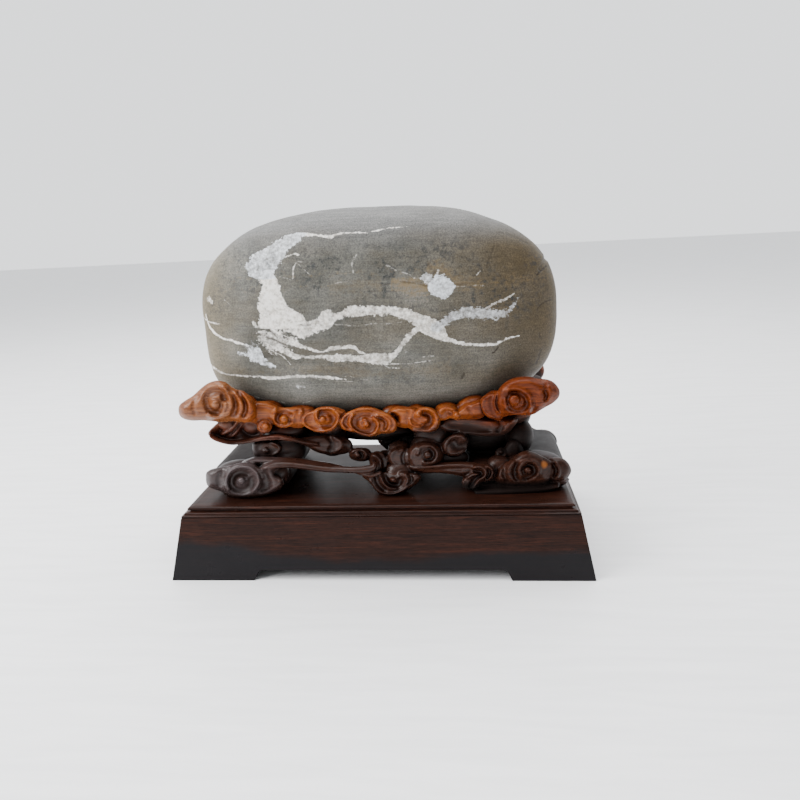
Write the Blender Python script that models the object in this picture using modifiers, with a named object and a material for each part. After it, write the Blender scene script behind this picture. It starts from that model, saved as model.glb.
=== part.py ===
"""A scholar's rock: a veined river stone standing in a carved cloud stand on a rectangular plinth.

X runs along the length, Y goes back from the front, and Z is up. The origin is the middle of the
plinth's footprint. Lists of places are in millimetres as (x, z), seen from the front.
"""

import math

import bmesh
import bpy
from mathutils import Matrix, Vector

MM = 0.001
GAP = 0.3 * MM

# Plinth: a moulded board on four mitred aprons that lean out to bracket feet.
PLINTH_LENGTH = 280 * MM
PLINTH_DEPTH = 144.6 * MM
APRON_HEIGHT = 42 * MM
APRON_LEAN = 8.6 * MM
APRON_THICKNESS = 9 * MM
LEFT_FOOT_LENGTH = 57 * MM
RIGHT_FOOT_LENGTH = 52.5 * MM
SIDE_FOOT_LENGTH = 34 * MM
FOOT_CHAMFER = 5 * MM
FOOT_HEIGHT = 7 * MM
# The board's edge from the bottom up, as (height above the aprons, how far in from their top edge).
BOARD_EDGE = (
    (0.3, 0.0), (0.8, 0.3), (1.0, 2.4), (2.2, 2.9), (2.5, 5.4), (3.9, 5.4), (4.1, 3.9), (5.3, 3.9), (6.0, 4.6)
)

# Stone: a flattened pebble on its long edge, squarer towards its lower left.
STONE_CENTRE = Vector((1, 1, 163)) * MM
STONE_HALF_LENGTH = 122 * MM
STONE_HALF_DEPTH = 44 * MM
STONE_RISE = 73 * MM
STONE_DROP = 70 * MM
STONE_SQUARENESS = {"upper_right": 2.5, "upper_left": 2.65, "lower_left": 3.6, "lower_right": 2.7}
STONE_SECTION = 2.6
STONE_SEGMENTS = 44
STONE_RINGS = 18

# Cloud stand, in three tiers, with the same carving on the front and the back. As in the lists of
# places, its levels and the depths of its faces are plain millimetres.
FOOT_LEVEL = 48.3
TRAY_WALL = 5.5 * MM
TRAY_TOP = 108 * MM
SLAB_TOP = 67
SLAB_BOTTOM = 57
SLAB_DEPTH = 84
LOWER_FACE = 42
MIDDLE_FACE = 34
UPPER_FACE = 39
VOXEL = 1.1 * MM
STAND_TRIANGLES = 7800

ROSEWOOD = (0.085, 0.035, 0.018, 1)
DARK_ROSEWOOD = (0.035, 0.018, 0.013, 1)
STONE_GREY = (0.17, 0.16, 0.13, 1)


def clear_scene():
    for item in list(bpy.data.objects):
        bpy.data.objects.remove(item)


def new_collection(name):
    collection = bpy.data.collections.new(name)
    bpy.context.scene.collection.children.link(collection)
    return collection


def material(name, colour, roughness):
    made = bpy.data.materials.new(name)
    made.use_nodes = True
    shader = made.node_tree.nodes["Principled BSDF"]
    shader.inputs["Base Color"].default_value = colour
    shader.inputs["Roughness"].default_value = roughness
    shader.inputs["Metallic"].default_value = 0
    made.diffuse_color = colour
    return made


def object_from(bm, name, collection, finish=None):
    mesh = bpy.data.meshes.new(name)
    bmesh.ops.recalc_face_normals(bm, faces=bm.faces)
    bm.to_mesh(mesh)
    bm.free()
    if finish:
        mesh.materials.append(finish)
    made = bpy.data.objects.new(name, mesh)
    collection.objects.link(made)
    return made


def cutter_look(item):
    item.hide_render = True
    item.display_type = "WIRE"
    return item


# ---------------------------------------------------------------- plinth


def block(bm, low, high):
    """A box between two corners, in metres."""
    size = Vector(high) - Vector(low)
    centre = (Vector(high) + Vector(low)) / 2
    matrix = Matrix.Translation(centre) @ Matrix.Diagonal((*size, 1))
    return bmesh.ops.create_cube(bm, size=1, matrix=matrix)["verts"]


def apron(name, length, distance, turn, collection, finish):
    """One mitred board of the plinth: its outer face leans out and its ends meet at 45 degrees."""
    bm = bmesh.new()
    corners = block(bm, (-1, -1, 0), (1, 1, 1))
    for corner in corners:
        top = corner.co.z > 0.5
        inner = corner.co.y > 0
        inset = (APRON_LEAN if top else 0) + (APRON_THICKNESS if inner else 0)
        end = math.copysign(length / 2 - inset - GAP / 2, corner.co.x)
        corner.co = (end, inset - distance, APRON_HEIGHT - GAP if top else 0)
    made = object_from(bm, name, collection, finish)
    made.rotation_euler.z = turn
    return made


def bracket_cut(name, left, right, distance, turn, collection):
    """The shallow space between two bracket feet, which narrows to its top by a chamfer at each end."""
    margin = 5 * MM
    bm = bmesh.new()
    depth = (-distance - margin, APRON_THICKNESS + APRON_LEAN + margin - distance)
    for corner in block(bm, (left, depth[0], -FOOT_HEIGHT), (right, depth[1], FOOT_HEIGHT)):
        outward = 1 if corner.co.x > 0 else -1
        corner.co.x += outward * FOOT_CHAMFER * (-1 if corner.co.z > 0 else 1)
    made = cutter_look(object_from(bm, name, collection))
    made.rotation_euler.z = turn
    return made


def moulded_board(collection, finish):
    """The plinth's top: one rectangle for each step of its edge, joined from the bottom up."""
    bm = bmesh.new()
    loops = []
    for height, inset in BOARD_EDGE:
        x = PLINTH_LENGTH / 2 - APRON_LEAN - inset * MM
        y = PLINTH_DEPTH / 2 - APRON_LEAN - inset * MM
        z = APRON_HEIGHT + height * MM - GAP
        loops.append([bm.verts.new(corner) for corner in ((-x, -y, z), (x, -y, z), (x, y, z), (-x, y, z))])
    for lower, upper in zip(loops, loops[1:]):
        for i in range(4):
            bm.faces.new((lower[i], lower[(i + 1) % 4], upper[(i + 1) % 4], upper[i]))
    bm.faces.new(loops[0])
    bm.faces.new(loops[-1])
    return object_from(bm, "plinth_top", collection, finish)


def build_plinth(parts, cutters, finish):
    moulded_board(parts, finish)
    left, right, end = LEFT_FOOT_LENGTH, RIGHT_FOOT_LENGTH, SIDE_FOOT_LENGTH
    sides = (
        ("front", PLINTH_LENGTH, PLINTH_DEPTH, left, right, 0),
        ("right", PLINTH_DEPTH, PLINTH_LENGTH, end, end, math.pi / 2),
        ("back", PLINTH_LENGTH, PLINTH_DEPTH, right, left, math.pi),
        ("left", PLINTH_DEPTH, PLINTH_LENGTH, end, end, -math.pi / 2),
    )
    for side, length, depth, near_foot, far_foot, turn in sides:
        board = apron(f"plinth_{side}_apron", length, depth / 2, turn, parts, finish)
        cut = board.modifiers.new("bracket_feet", "BOOLEAN")
        cut.operation = "DIFFERENCE"
        ends = (near_foot - length / 2, length / 2 - far_foot)
        cut.object = bracket_cut(f"{side}_bracket_cut", *ends, depth / 2, turn, cutters)


# ---------------------------------------------------------------- stone


def signed_power(value, exponent):
    return math.copysign(abs(value) ** exponent, value)


def stone_point(direction, spread=0):
    """The stone's surface where a unit sphere has this direction, or a little outside it."""
    around = math.atan2(direction.z, direction.x)
    height = "upper" if direction.z > 0 else "lower"
    side = "right" if direction.x > 0 else "left"
    bend = 2 / STONE_SQUARENESS[f"{height}_{side}"]
    reach = math.hypot(direction.x, direction.z) ** (2 / STONE_SECTION)
    x = (STONE_HALF_LENGTH + spread) * signed_power(math.cos(around), bend) * reach
    rise = STONE_RISE if direction.z > 0 else STONE_DROP
    z = (rise + spread) * signed_power(math.sin(around), bend) * reach
    y = (STONE_HALF_DEPTH + spread) * signed_power(direction.y, 2 / STONE_SECTION)
    return STONE_CENTRE + Vector((x, y, z))


def stone_form(spread=0):
    """A UV sphere with its poles at the front and the back, shaped into the pebble."""
    bm = bmesh.new()
    poles_to_y = Matrix.Rotation(math.pi / 2, 4, "X")
    bmesh.ops.create_uvsphere(
        bm, u_segments=STONE_SEGMENTS, v_segments=STONE_RINGS, radius=1, matrix=poles_to_y
    )
    for vert in bm.verts:
        vert.co = stone_point(vert.co.normalized(), spread)
    return bm


def build_stone(parts, finish):
    stone = object_from(stone_form(), "stone", parts, finish)
    stone.data.shade_smooth()
    return stone


# ---------------------------------------------------------------- cloud stand


def lobe(bm, x, z, depth, half_sizes, lean=0):
    """A rounded lump; lean turns it in the plane of the front, in degrees."""
    place = Matrix.Translation(Vector((x, depth, z)) * MM)
    turned = Matrix.Rotation(math.radians(lean), 4, "Y")
    scaled = Matrix.Diagonal((*(Vector(half_sizes) * MM), 1))
    lump = bmesh.new()
    bmesh.ops.create_uvsphere(lump, u_segments=24, v_segments=12, radius=1, matrix=place @ turned @ scaled)
    add_form(bm, lump)


def add_form(bm, form):
    """Moves the faces of one bmesh into another."""
    mesh = bpy.data.meshes.new("form")
    form.to_mesh(mesh)
    form.free()
    bm.from_mesh(mesh)
    bpy.data.meshes.remove(mesh)


def ridge(bm, points, radius, end_radius=None):
    """A raised rib along a smooth path of (x, y, z) points, thinning to its end radius."""
    curve = bpy.data.curves.new("ridge", "CURVE")
    curve.dimensions = "3D"
    curve.bevel_depth = MM
    curve.bevel_resolution = 2
    curve.use_fill_caps = True
    curve.resolution_u = 4
    spline = curve.splines.new("NURBS")
    spline.points.add(len(points) - 1)
    spline.use_endpoint_u = True
    spline.order_u = 4
    end_radius = radius if end_radius is None else end_radius
    for i, place in enumerate(points):
        spline.points[i].co = (*(Vector(place) * MM), 1)
        spline.points[i].radius = radius + (end_radius - radius) * i / (len(points) - 1)
    carrier = bpy.data.objects.new("ridge", curve)
    bpy.context.scene.collection.objects.link(carrier)
    bpy.context.view_layer.update()
    mesh = bpy.data.meshes.new_from_object(carrier.evaluated_get(bpy.context.evaluated_depsgraph_get()))
    bpy.data.objects.remove(carrier)
    tube = bmesh.new()
    tube.from_mesh(mesh)
    bpy.data.meshes.remove(mesh)
    bmesh.ops.remove_doubles(tube, verts=tube.verts, dist=0.00001)
    add_form(bm, tube)


def scroll(bm, x, z, face, radius, side, hand=1, start=90, turns=1.25, deep=5.0):
    """A cloud scroll: a pad, a rib that winds in, and the round boss that it ends on."""
    lobe(bm, x, z, side * (face - deep * 0.6), (radius * 1.08, deep, radius * 1.02))
    steps = int(10 * turns)
    path = []
    for i in range(steps + 1):
        angle = math.radians(start) + hand * 2 * math.pi * turns * i / steps
        reach = radius * (0.86 - 0.5 * i / steps)
        path.append((x + reach * math.cos(angle), side * (face + 0.6), z + reach * math.sin(angle)))
    ridge(bm, path, radius * 0.16, radius * 0.2)
    lobe(bm, x, z, side * face, (radius * 0.26, 3.4, radius * 0.26))


def lower_tier(bm, side):
    """Scroll feet at both ends and the middle, and the ribbon that runs between them."""
    face = LOWER_FACE
    scroll(bm, -91, 62.5, face + 6, 13.5, side, hand=-1, start=200)
    lobe(bm, -96, 62, side * 40, (23, 11, 12))
    lobe(bm, -73, 63, side * 41, (12, 9, 10), -22)
    lobe(bm, -90, 55, side * 37, (22, 12, 10))
    scroll(bm, 12, 59.5, face + 2, 12.5, side, hand=1, start=120)
    lobe(bm, 22, 62, side * 37, (11, 8, 10), -20)
    lobe(bm, 10, 56, side * 35, (14, 10, 10))
    scroll(bm, 64, 57, face, 7, side, hand=1, start=60)
    scroll(bm, 99, 65, face + 1, 11, side, hand=1, start=100)
    lobe(bm, 104, 65, side * 34, (24, 11, 10))
    lobe(bm, 82, 66, side * 35, (10, 8, 8))
    lobe(bm, 95, 55, side * 31, (32, 12, 8))
    depth = side * face
    left_ribbon = ((-84, 71), (-70, 74), (-45, 71), (-22, 67), (-6, 64), (6, 66))
    right_ribbon = ((10, 68), (30, 63), (50, 63), (66, 68), (80, 68), (88, 64))
    hook = ((78, 69), (76, 62), (68, 53), (60, 53))
    ridge(bm, [(x, depth, z) for x, z in left_ribbon], 3.2)
    ridge(bm, [(x, depth, z) for x, z in right_ribbon], 3.4)
    ridge(bm, [(x, depth, z) for x, z in hook], 3, 2.4)


def middle_tier(bm, side):
    """Cloud pillars between the slab and the tray, with gaps between them."""
    face = MIDDLE_FACE
    lobe(bm, -68, 76, side * 21, (18, 14, 15))
    lobe(bm, -66, 90, side * 22, (16, 13, 9))
    scroll(bm, -77, 76, face, 7, side, hand=-1)
    leaf = ((-117, 91), (-106, 84), (-84, 86), (-63, 88), (-41, 82), (-26, 80))
    ridge(bm, [(x, side * 35, z) for x, z in leaf], 3.4, 3)
    lobe(bm, -103, 89, side * 33, (15, 8, 7.5), 12)
    lobe(bm, -104, 98, side * 35, (8, 8, 7))
    lobe(bm, -86, 95, side * 28, (10, 9, 9))
    lobe(bm, -33, 80, side * 24, (13, 11, 12))
    lobe(bm, -36, 91, side * 25, (12, 9, 7))
    scroll(bm, -9, 74, face - 1, 7, side, hand=1)
    lobe(bm, 2, 70, side * 32, (10, 8, 8))
    scroll(bm, 34, 75, face + 4, 14.5, side, hand=1, start=60)
    lobe(bm, 15, 74, side * 34, (10.5, 8, 9.5))
    lobe(bm, 38, 88, side * 26, (15, 11, 9))
    lobe(bm, 48, 68, side * 32, (15, 9, 8))
    scroll(bm, 53, 81, face + 1, 8, side, hand=-1)
    lobe(bm, 74, 78, side * 19, (24, 13, 16))
    scroll(bm, 84, 73, face - 3, 6.5, side, hand=-1)
    lobe(bm, 74, 92, side * 30, (19, 10, 7))
    lobe(bm, 95, 94, side * 31, (17, 9, 8), -25)
    lobe(bm, 97, 77, side * 27, (9, 11, 12))


def upper_tier(bm, side):
    """A row of small scrolls along the tray's rim, and a large wing at each end."""
    face = UPPER_FACE
    row = ((-55, 102, 7.5, 1), (-35, 101, 10, 1), (-6, 99.5, 12, 1), (28, 101, 10.5, -1), (51, 104.5, 7, -1))
    for x, z, radius, hand in row:
        scroll(bm, x, z, face, radius, side, hand)
    lobe(bm, 10, 100, side * 35, (10, 6, 8.5))
    lobe(bm, 17, 102, side * 35, (9, 6, 8))
    lobe(bm, -72, 107, side * 33, (12, 8, 9))
    lobe(bm, -74, 99, side * 36, (5, 5, 5))
    lobe(bm, 65, 107, side * 33, (13, 8, 7.5), -18)
    scroll(bm, -106, 114, face + 3, 11, side, hand=1, start=60, deep=7)
    lobe(bm, -108, 113, side * 36, (25, 8, 12), 6)
    lobe(bm, -103, 117, side * 36, (16, 8, 11), 30)
    lobe(bm, -88, 110.5, side * 35, (11, 8, 11))
    drop = 0 if side < 0 else -4
    scroll(bm, 93, 111 + drop, face + 3, 11, side, hand=-1, start=60, deep=7)
    lobe(bm, 97, 114.5 + drop, side * 36, (18, 8, 11.5), -10)
    lobe(bm, 108, 115 + drop, side * 36, (13, 8, 9))
    lobe(bm, 78, 110 + drop, side * 35, (10, 8, 8.5), -25)


def slab_ends(bm):
    """The two smooth ends of the lower tier, which the pillars stand on."""
    for low, high in ((-118, -62), (58, 127)):
        corners = block(
            bm,
            Vector((low, -SLAB_DEPTH / 2, SLAB_BOTTOM)) * MM,
            Vector((high, SLAB_DEPTH / 2, SLAB_TOP)) * MM,
        )
        upright = {
            edge for corner in corners for edge in corner.link_edges
            if abs(edge.verts[0].co.z - edge.verts[1].co.z) > MM
        }
        bmesh.ops.bevel(bm, geom=list(upright), offset=9 * MM, segments=4, affect="EDGES", profile=0.5)


def tray_form():
    """The bottom of the stone's form, a wall's thickness outside it, cut off level."""
    bm = stone_form(TRAY_WALL)
    geometry = bm.verts[:] + bm.edges[:] + bm.faces[:]
    cut = bmesh.ops.bisect_plane(
        bm, geom=geometry, plane_co=(0, 0, TRAY_TOP), plane_no=(0, 0, 1), clear_outer=True
    )["geom_cut"]
    bmesh.ops.holes_fill(bm, edges=[item for item in cut if isinstance(item, bmesh.types.BMEdge)])
    return bm


def triangle_count(item):
    bpy.context.view_layer.update()
    evaluated = item.evaluated_get(bpy.context.evaluated_depsgraph_get())
    mesh = evaluated.to_mesh()
    mesh.calc_loop_triangles()
    count = len(mesh.loop_triangles)
    evaluated.to_mesh_clear()
    return count


def cut_from(item, cutter):
    cut = item.modifiers.new(f"clear_of_{cutter.name}", "BOOLEAN")
    cut.operation = "DIFFERENCE"
    cut.object = cutter


def build_stand(parts, cutters, finish):
    bm = tray_form()
    slab_ends(bm)
    for side in (-1, 1):
        lower_tier(bm, side)
        middle_tier(bm, side)
        upper_tier(bm, side)
    stand = object_from(bm, "cloud_stand", parts, finish)
    fuse = stand.modifiers.new("fuse", "REMESH")
    fuse.mode = "VOXEL"
    fuse.voxel_size = VOXEL
    soften = stand.modifiers.new("soften", "SMOOTH")
    soften.factor = 0.5
    soften.iterations = 2
    thin = stand.modifiers.new("thin", "DECIMATE")
    thin.ratio = STAND_TRIANGLES / triangle_count(stand)
    seat = cutter_look(object_from(stone_form(GAP), "stone_seat", cutters))
    cut_from(stand, seat)
    below = bmesh.new()
    block(below, (-0.2, -0.1, 0), (0.2, 0.1, FOOT_LEVEL * MM))
    cut_from(stand, cutter_look(object_from(below, "plinth_level", cutters)))
    return stand


def main():
    clear_scene()
    parts = new_collection("scholars_rock")
    cutters = new_collection("cutters")
    build_plinth(parts, cutters, material("plinth_wood", DARK_ROSEWOOD, 0.4))
    build_stone(parts, material("river_stone", STONE_GREY, 0.7))
    build_stand(parts, cutters, material("stand_wood", ROSEWOOD, 0.35))


main()
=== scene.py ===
"""The looks of the scholar's rock: the veined river stone, its carved cloud stand and the plinth.

X runs along the length, Y goes back from the front, and Z is up. Lists of places are in millimetres.
"""

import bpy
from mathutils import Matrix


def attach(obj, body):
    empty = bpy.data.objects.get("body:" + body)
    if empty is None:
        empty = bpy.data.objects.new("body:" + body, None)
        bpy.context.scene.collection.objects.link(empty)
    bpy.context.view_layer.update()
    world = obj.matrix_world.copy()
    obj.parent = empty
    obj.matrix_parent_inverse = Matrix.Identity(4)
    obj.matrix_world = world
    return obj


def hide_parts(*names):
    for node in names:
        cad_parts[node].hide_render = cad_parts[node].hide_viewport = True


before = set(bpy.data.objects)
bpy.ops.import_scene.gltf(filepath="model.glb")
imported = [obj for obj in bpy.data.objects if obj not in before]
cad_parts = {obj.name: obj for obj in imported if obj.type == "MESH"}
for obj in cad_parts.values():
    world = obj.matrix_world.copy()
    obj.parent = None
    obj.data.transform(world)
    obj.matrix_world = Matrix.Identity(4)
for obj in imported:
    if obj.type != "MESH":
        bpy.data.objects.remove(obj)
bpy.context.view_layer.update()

import functools
import math

import bmesh
import bpy
import numpy as np
from mathutils import Matrix, Vector, noise

MM = 0.001
BODY = "root"

# ---------------------------------------------------------------- camera, light and stage

CAMERA_PLACE = (0.06092, -0.44874, 0.22934)
CAMERA_YAW, CAMERA_PITCH, CAMERA_ROLL = 6.0139, 15.7524, -3.1446
SENSOR_WIDTH = 36
CAMERA_LENS = 655 / 800 * SENSOR_WIDTH
LIT_PLACE = (0, 0, 0.1)


def add_object(name, data):
    made = bpy.data.objects.new(name, data)
    bpy.context.scene.collection.objects.link(made)
    return made


def make_camera():
    """The photograph's viewing angle: turned, tilted down and rolled about the line of sight."""
    pitch = math.radians(CAMERA_PITCH)
    forward = Vector((0, math.cos(pitch), -math.sin(pitch)))
    up = Vector((0, math.sin(pitch), math.cos(pitch)))
    rolled = Matrix.Rotation(math.radians(CAMERA_ROLL), 3, -forward)
    turned = Matrix.Rotation(math.radians(CAMERA_YAW), 3, "Z")
    right, up, forward = (turned @ v for v in (rolled @ Vector((1, 0, 0)), rolled @ up, forward))
    data = bpy.data.cameras.new("camera")
    data.sensor_width = SENSOR_WIDTH
    data.lens = CAMERA_LENS
    data.clip_start = 0.01
    camera = add_object("camera", data)
    facing = Matrix((right, up, -forward)).transposed().to_4x4()
    camera.matrix_world = Matrix.Translation(CAMERA_PLACE) @ facing
    bpy.context.scene.camera = camera


def area_light(name, place, size, power):
    """A soft light that faces the middle of the stand."""
    data = bpy.data.lights.new(name, "AREA")
    data.shape = "RECTANGLE"
    data.size, data.size_y = size
    data.energy = power
    light = add_object(name, data)
    light.location = place
    light.rotation_euler = (Vector(LIT_PLACE) - Vector(place)).to_track_quat("-Z", "Y").to_euler()


# ---------------------------------------------------------------- shader nodes


class Shader:
    """The node tree of a material or a world, with a short way to add each kind of node."""

    def __init__(self, name, kind=bpy.data.materials, surface="Principled BSDF"):
        self.owner = kind.new(name)
        self.owner.use_nodes = True
        self.tree = self.owner.node_tree
        self.surface = self.tree.nodes[surface]

    def put(self, node, socket, value):
        target = node.inputs[socket]
        if isinstance(value, bpy.types.NodeSocket):
            self.tree.links.new(value, target)
        elif target.type == "RGBA":
            target.default_value = (*value, 1)
        else:
            target.default_value = value

    def node(self, kind, inputs, output=0, **settings):
        made = self.tree.nodes.new(f"ShaderNode{kind}")
        for key, value in settings.items():
            setattr(made, key, value)
        for socket, value in inputs.items():
            self.put(made, socket, value)
        return made.outputs[output]

    def math(self, operation, *values, clamp=False):
        return self.node("Math", dict(enumerate(values)), operation=operation, use_clamp=clamp)

    def times(self, *values):
        return functools.reduce(functools.partial(self.math, "MULTIPLY"), values)

    def largest(self, *values):
        return functools.reduce(functools.partial(self.math, "MAXIMUM"), values)

    def minus(self, value, less):
        return self.math("SUBTRACT", value, less)

    def size(self, value):
        return self.math("ABSOLUTE", value)

    def vector(self, operation, first, second, socket=1, output="Vector"):
        return self.node("VectorMath", {0: first, socket: second}, output, operation=operation)

    def place(self):
        return self.node("TexCoord", {}, output="Object")

    def split(self, vector):
        made = self.tree.nodes.new("ShaderNodeSeparateXYZ")
        self.put(made, 0, vector)
        return made.outputs

    def scaled(self, vector, scale):
        return self.node("Mapping", {"Vector": vector, "Scale": scale})

    def noise(self, vector, scale, detail=4.0, rough=0.5, distortion=0.0, output="Fac"):
        inputs = {"Vector": vector, "Scale": scale, "Detail": detail, "Roughness": rough}
        return self.node("TexNoise", {**inputs, "Distortion": distortion}, output=output)

    def ramp(self, factor, *stops):
        """A colour ramp; each stop is (place, colour), and a single number is a grey."""
        made = self.tree.nodes.new("ShaderNodeValToRGB")
        elements = made.color_ramp.elements
        while len(elements) < len(stops):
            elements.new(0.5)
        for element, (place, colour) in zip(elements, stops):
            element.position = place
            element.color = (*(colour if isinstance(colour, tuple) else (colour,) * 3), 1)
        self.put(made, "Fac", factor)
        return made.outputs["Color"]

    def spread(self, value, low, high, start=0.0, end=1.0):
        """The value mapped from low..high to start..end, and held there."""
        inputs = {"Value": value, "From Min": low, "From Max": high, "To Min": start, "To Max": end}
        return self.node("MapRange", inputs, clamp=True)

    def mix(self, factor, first, second, blend="MIX"):
        inputs = {0: factor, 6: first, 7: second}
        return self.node("Mix", inputs, 2, data_type="RGBA", blend_type=blend)

    def tint(self, colour, other):
        return self.mix(1.0, colour, other, "MULTIPLY")

    def bump(self, height, strength, distance, normal=None):
        inputs = {"Height": height, "Strength": strength, "Distance": distance}
        if normal:
            inputs["Normal"] = normal
        return self.node("Bump", inputs, output="Normal")

    def finish(self, **values):
        """Sets the surface's own sockets, whose names have spaces for underscores."""
        for name, value in values.items():
            self.put(self.surface, name.replace("_", " "), value)
        return self.owner


# ---------------------------------------------------------------- meshes


def finished_mesh(bm, name, material=None):
    """The bmesh as a smooth mesh with outward normals."""
    bmesh.ops.recalc_face_normals(bm, faces=bm.faces)
    mesh = bpy.data.meshes.new(name)
    bm.to_mesh(mesh)
    bm.free()
    mesh.shade_smooth()
    if material:
        mesh.materials.append(material)
    return mesh


def mesh_object(name, places, faces, material=None):
    """A piece from its points in metres and its faces."""
    raw = bpy.data.meshes.new("raw")
    raw.from_pydata(np.asarray(places).tolist(), [], faces)
    bm = bmesh.new()
    bm.from_mesh(raw)
    bpy.data.meshes.remove(raw)
    return add_object(name, finished_mesh(bm, name, material))


def dress(piece, node):
    """The piece rides on the body and stands in for its CAD node, which is hidden."""
    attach(piece, BODY)
    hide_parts(node)


def smooth_line(numbers, step, closed=False, wide=2):
    """A Catmull-Rom curve through points of so many numbers each, with places about a step apart."""
    points = np.reshape(np.asarray(numbers, float), (-1, wide))
    count = len(points)
    made = []
    for i in range(count if closed else count - 1):
        near = [(i + k) % count if closed else min(max(i + k, 0), count - 1) for k in (-1, 0, 1, 2)]
        before, start, end, after = points[near]
        steps = max(1, math.ceil(np.linalg.norm(end - start) / step))
        t = (np.arange(steps) / steps)[:, None]
        square = (2 * before - 5 * start + 4 * end - after) * t**2
        cube = (3 * start - before - 3 * end + after) * t**3
        made.append(0.5 * (2 * start + (end - before) * t + square + cube))
    if not closed:
        made.append(points[-1:])
    return np.vstack(made)


def distance_to(line, places, closed=False):
    """How far each place is from a polyline, both in the plane of the front."""
    starts, ends = (line, np.roll(line, -1, 0)) if closed else (line[:-1], line[1:])
    found = np.full(len(places), np.inf)
    for start, end in zip(starts, ends):
        along = end - start
        share = np.clip(((places - start) @ along) / max(along @ along, 1e-9), 0, 1)
        nearest = start + share[:, None] * along
        np.minimum(found, np.hypot(*(places - nearest).T), out=found)
    return found


class Store:
    """Points and faces of the forms that make up one fused carving, in millimetres."""

    def __init__(self):
        self.places, self.faces, self.count = [], [], 0

    def add(self, places, faces):
        self.places.append(np.asarray(places, float))
        self.faces.extend([tuple(i + self.count for i in face) for face in faces])
        self.count += len(places)


def ring_faces(first, second, count):
    """Quads between two closed rings of the same count, given the index where each starts."""
    after = [(i + 1) % count for i in range(count)]
    return [(first + i, first + k, second + k, second + i) for i, k in enumerate(after)]


# ---------------------------------------------------------------- carved forms


# How many points go around a lump or a ribbon, and how many bands of faces a lump has.
SIDES, BANDS = 28, 14


def lobe(store, x, z, depth, half_sizes, lean=0):
    """A rounded lump; lean turns it in the plane of the front, in degrees."""
    turned = np.array(Matrix.Rotation(math.radians(lean), 3, "Y"))
    places = [(0, 0, 1)]
    for polar in math.pi * np.arange(1, BANDS) / BANDS:
        out, up = math.sin(polar), math.cos(polar)
        angles = [2 * math.pi * k / SIDES for k in range(SIDES)]
        places += [(out * math.cos(angle), out * math.sin(angle), up) for angle in angles]
    places.append((0, 0, -1))
    last = len(places) - 1
    faces = [(0, 1 + (k + 1) % SIDES, 1 + k) for k in range(SIDES)]
    for i in range(BANDS - 2):
        faces += ring_faces(1 + i * SIDES, 1 + (i + 1) * SIDES, SIDES)
    faces += [(last, last - SIDES + k, last - SIDES + (k + 1) % SIDES) for k in range(SIDES)]
    store.add(np.array(places) * half_sizes @ turned.T + (x, depth, z), faces)


def bell(distances, width):
    """1 on a line, falling away smoothly to 0 at the width."""
    return np.clip(1 - (distances / width) ** 2, 0, 1) ** 2


def in_sight(places, depth, height):
    """Raises places off the plane at a depth along the line of sight, so that their drawing stays true."""
    eye = np.array(CAMERA_PLACE) / MM
    nearer = 1 - height / (depth - eye[1])
    flat = eye[[0, 2]] + (places - eye[[0, 2]]) * nearer[:, None]
    return np.column_stack([flat[:, 0], depth - height, flat[:, 1]])


# The back of a carved form is rounded: (share of its thickness, size there).
BACK_ROUNDING = ((0.2, 0.995), (0.45, 0.965), (0.7, 0.9), (0.9, 0.8), (1.0, 0.68))
# How closely the forms are sampled, in millimetres.
BORDER_STEP, RING_STEP, LINE_STEP, STRAND_STEP = 0.6, 0.55, 0.8, 0.7


def plate(
    store, depth, centre, outline, edge, dome,
    thick=9, dish=None, rim=None, crests=(), grooves=(), bosses=(),
):
    """A carved cloud form that faces the front: an outline, and the relief inside it.

    edge and dish are (drop, width), rim is (height, width, inset), each crest and groove is (height,
    width, line), and each boss is (x, z, radius, height).
    """
    border = smooth_line(outline, BORDER_STEP, closed=True)
    centre = np.array(centre)
    reach = np.linalg.norm(border - centre, axis=1).max()
    rings = max(8, int(reach / RING_STEP))
    shares = (np.arange(1, rings + 1) / rings)[:, None, None]
    places = np.vstack([centre[None], (centre + shares * (border - centre)).reshape(-1, 2)])
    inside = distance_to(smooth_line(outline, 2 * BORDER_STEP, closed=True), places, closed=True)
    inside[-len(border):] = 0
    height = dome * (1 - np.clip(1 - inside / (reach * 0.5), 0, 1) ** 2)
    height -= edge[0] * np.clip(1 - inside / edge[1], 0, 1) ** 2
    if dish:
        height -= dish[0] * (1 - np.clip(1 - inside / dish[1], 0, 1) ** 2)
    raised, cut = np.zeros((2, len(places)))
    if rim:
        raised = rim[0] * bell(inside - rim[2], rim[1])
    for relief, lines in ((raised, crests), (cut, grooves)):
        for height_there, width, line in lines:
            near = distance_to(smooth_line(line, LINE_STEP), places)
            np.maximum(relief, height_there * bell(near, width), out=relief)
    for x, z, radius, rise in bosses:
        near = np.hypot(*(places - (x, z)).T) / radius
        raised = np.maximum(raised, rise * np.sqrt(np.clip(1 - near**2, 0, 1)))
        cut = np.maximum(cut, 0.3 * rise * bell(near - 1.25, 0.4))
    height += raised - cut
    count = len(border)
    front = in_sight(places, depth, height)
    faces = [(0, 1 + (i + 1) % count, 1 + i) for i in range(count)]
    for ring in range(rings - 1):
        faces += ring_faces(1 + ring * count, 1 + (ring + 1) * count, count)
    last = 1 + (rings - 1) * count
    rows = [front]
    for share, size in BACK_ROUNDING:
        sunk = height[-count:] * (1 - share) - thick * share
        rows.append(in_sight(centre + size * (border - centre), depth, sunk))
        faces += ring_faces(last, last + count, count)
        last += count
    rows.append(in_sight(centre[None], depth, np.array([-float(thick)])))
    faces += [(last + count, last + i, last + (i + 1) % count) for i in range(count)]
    store.add(np.vstack(rows), faces)


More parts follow.
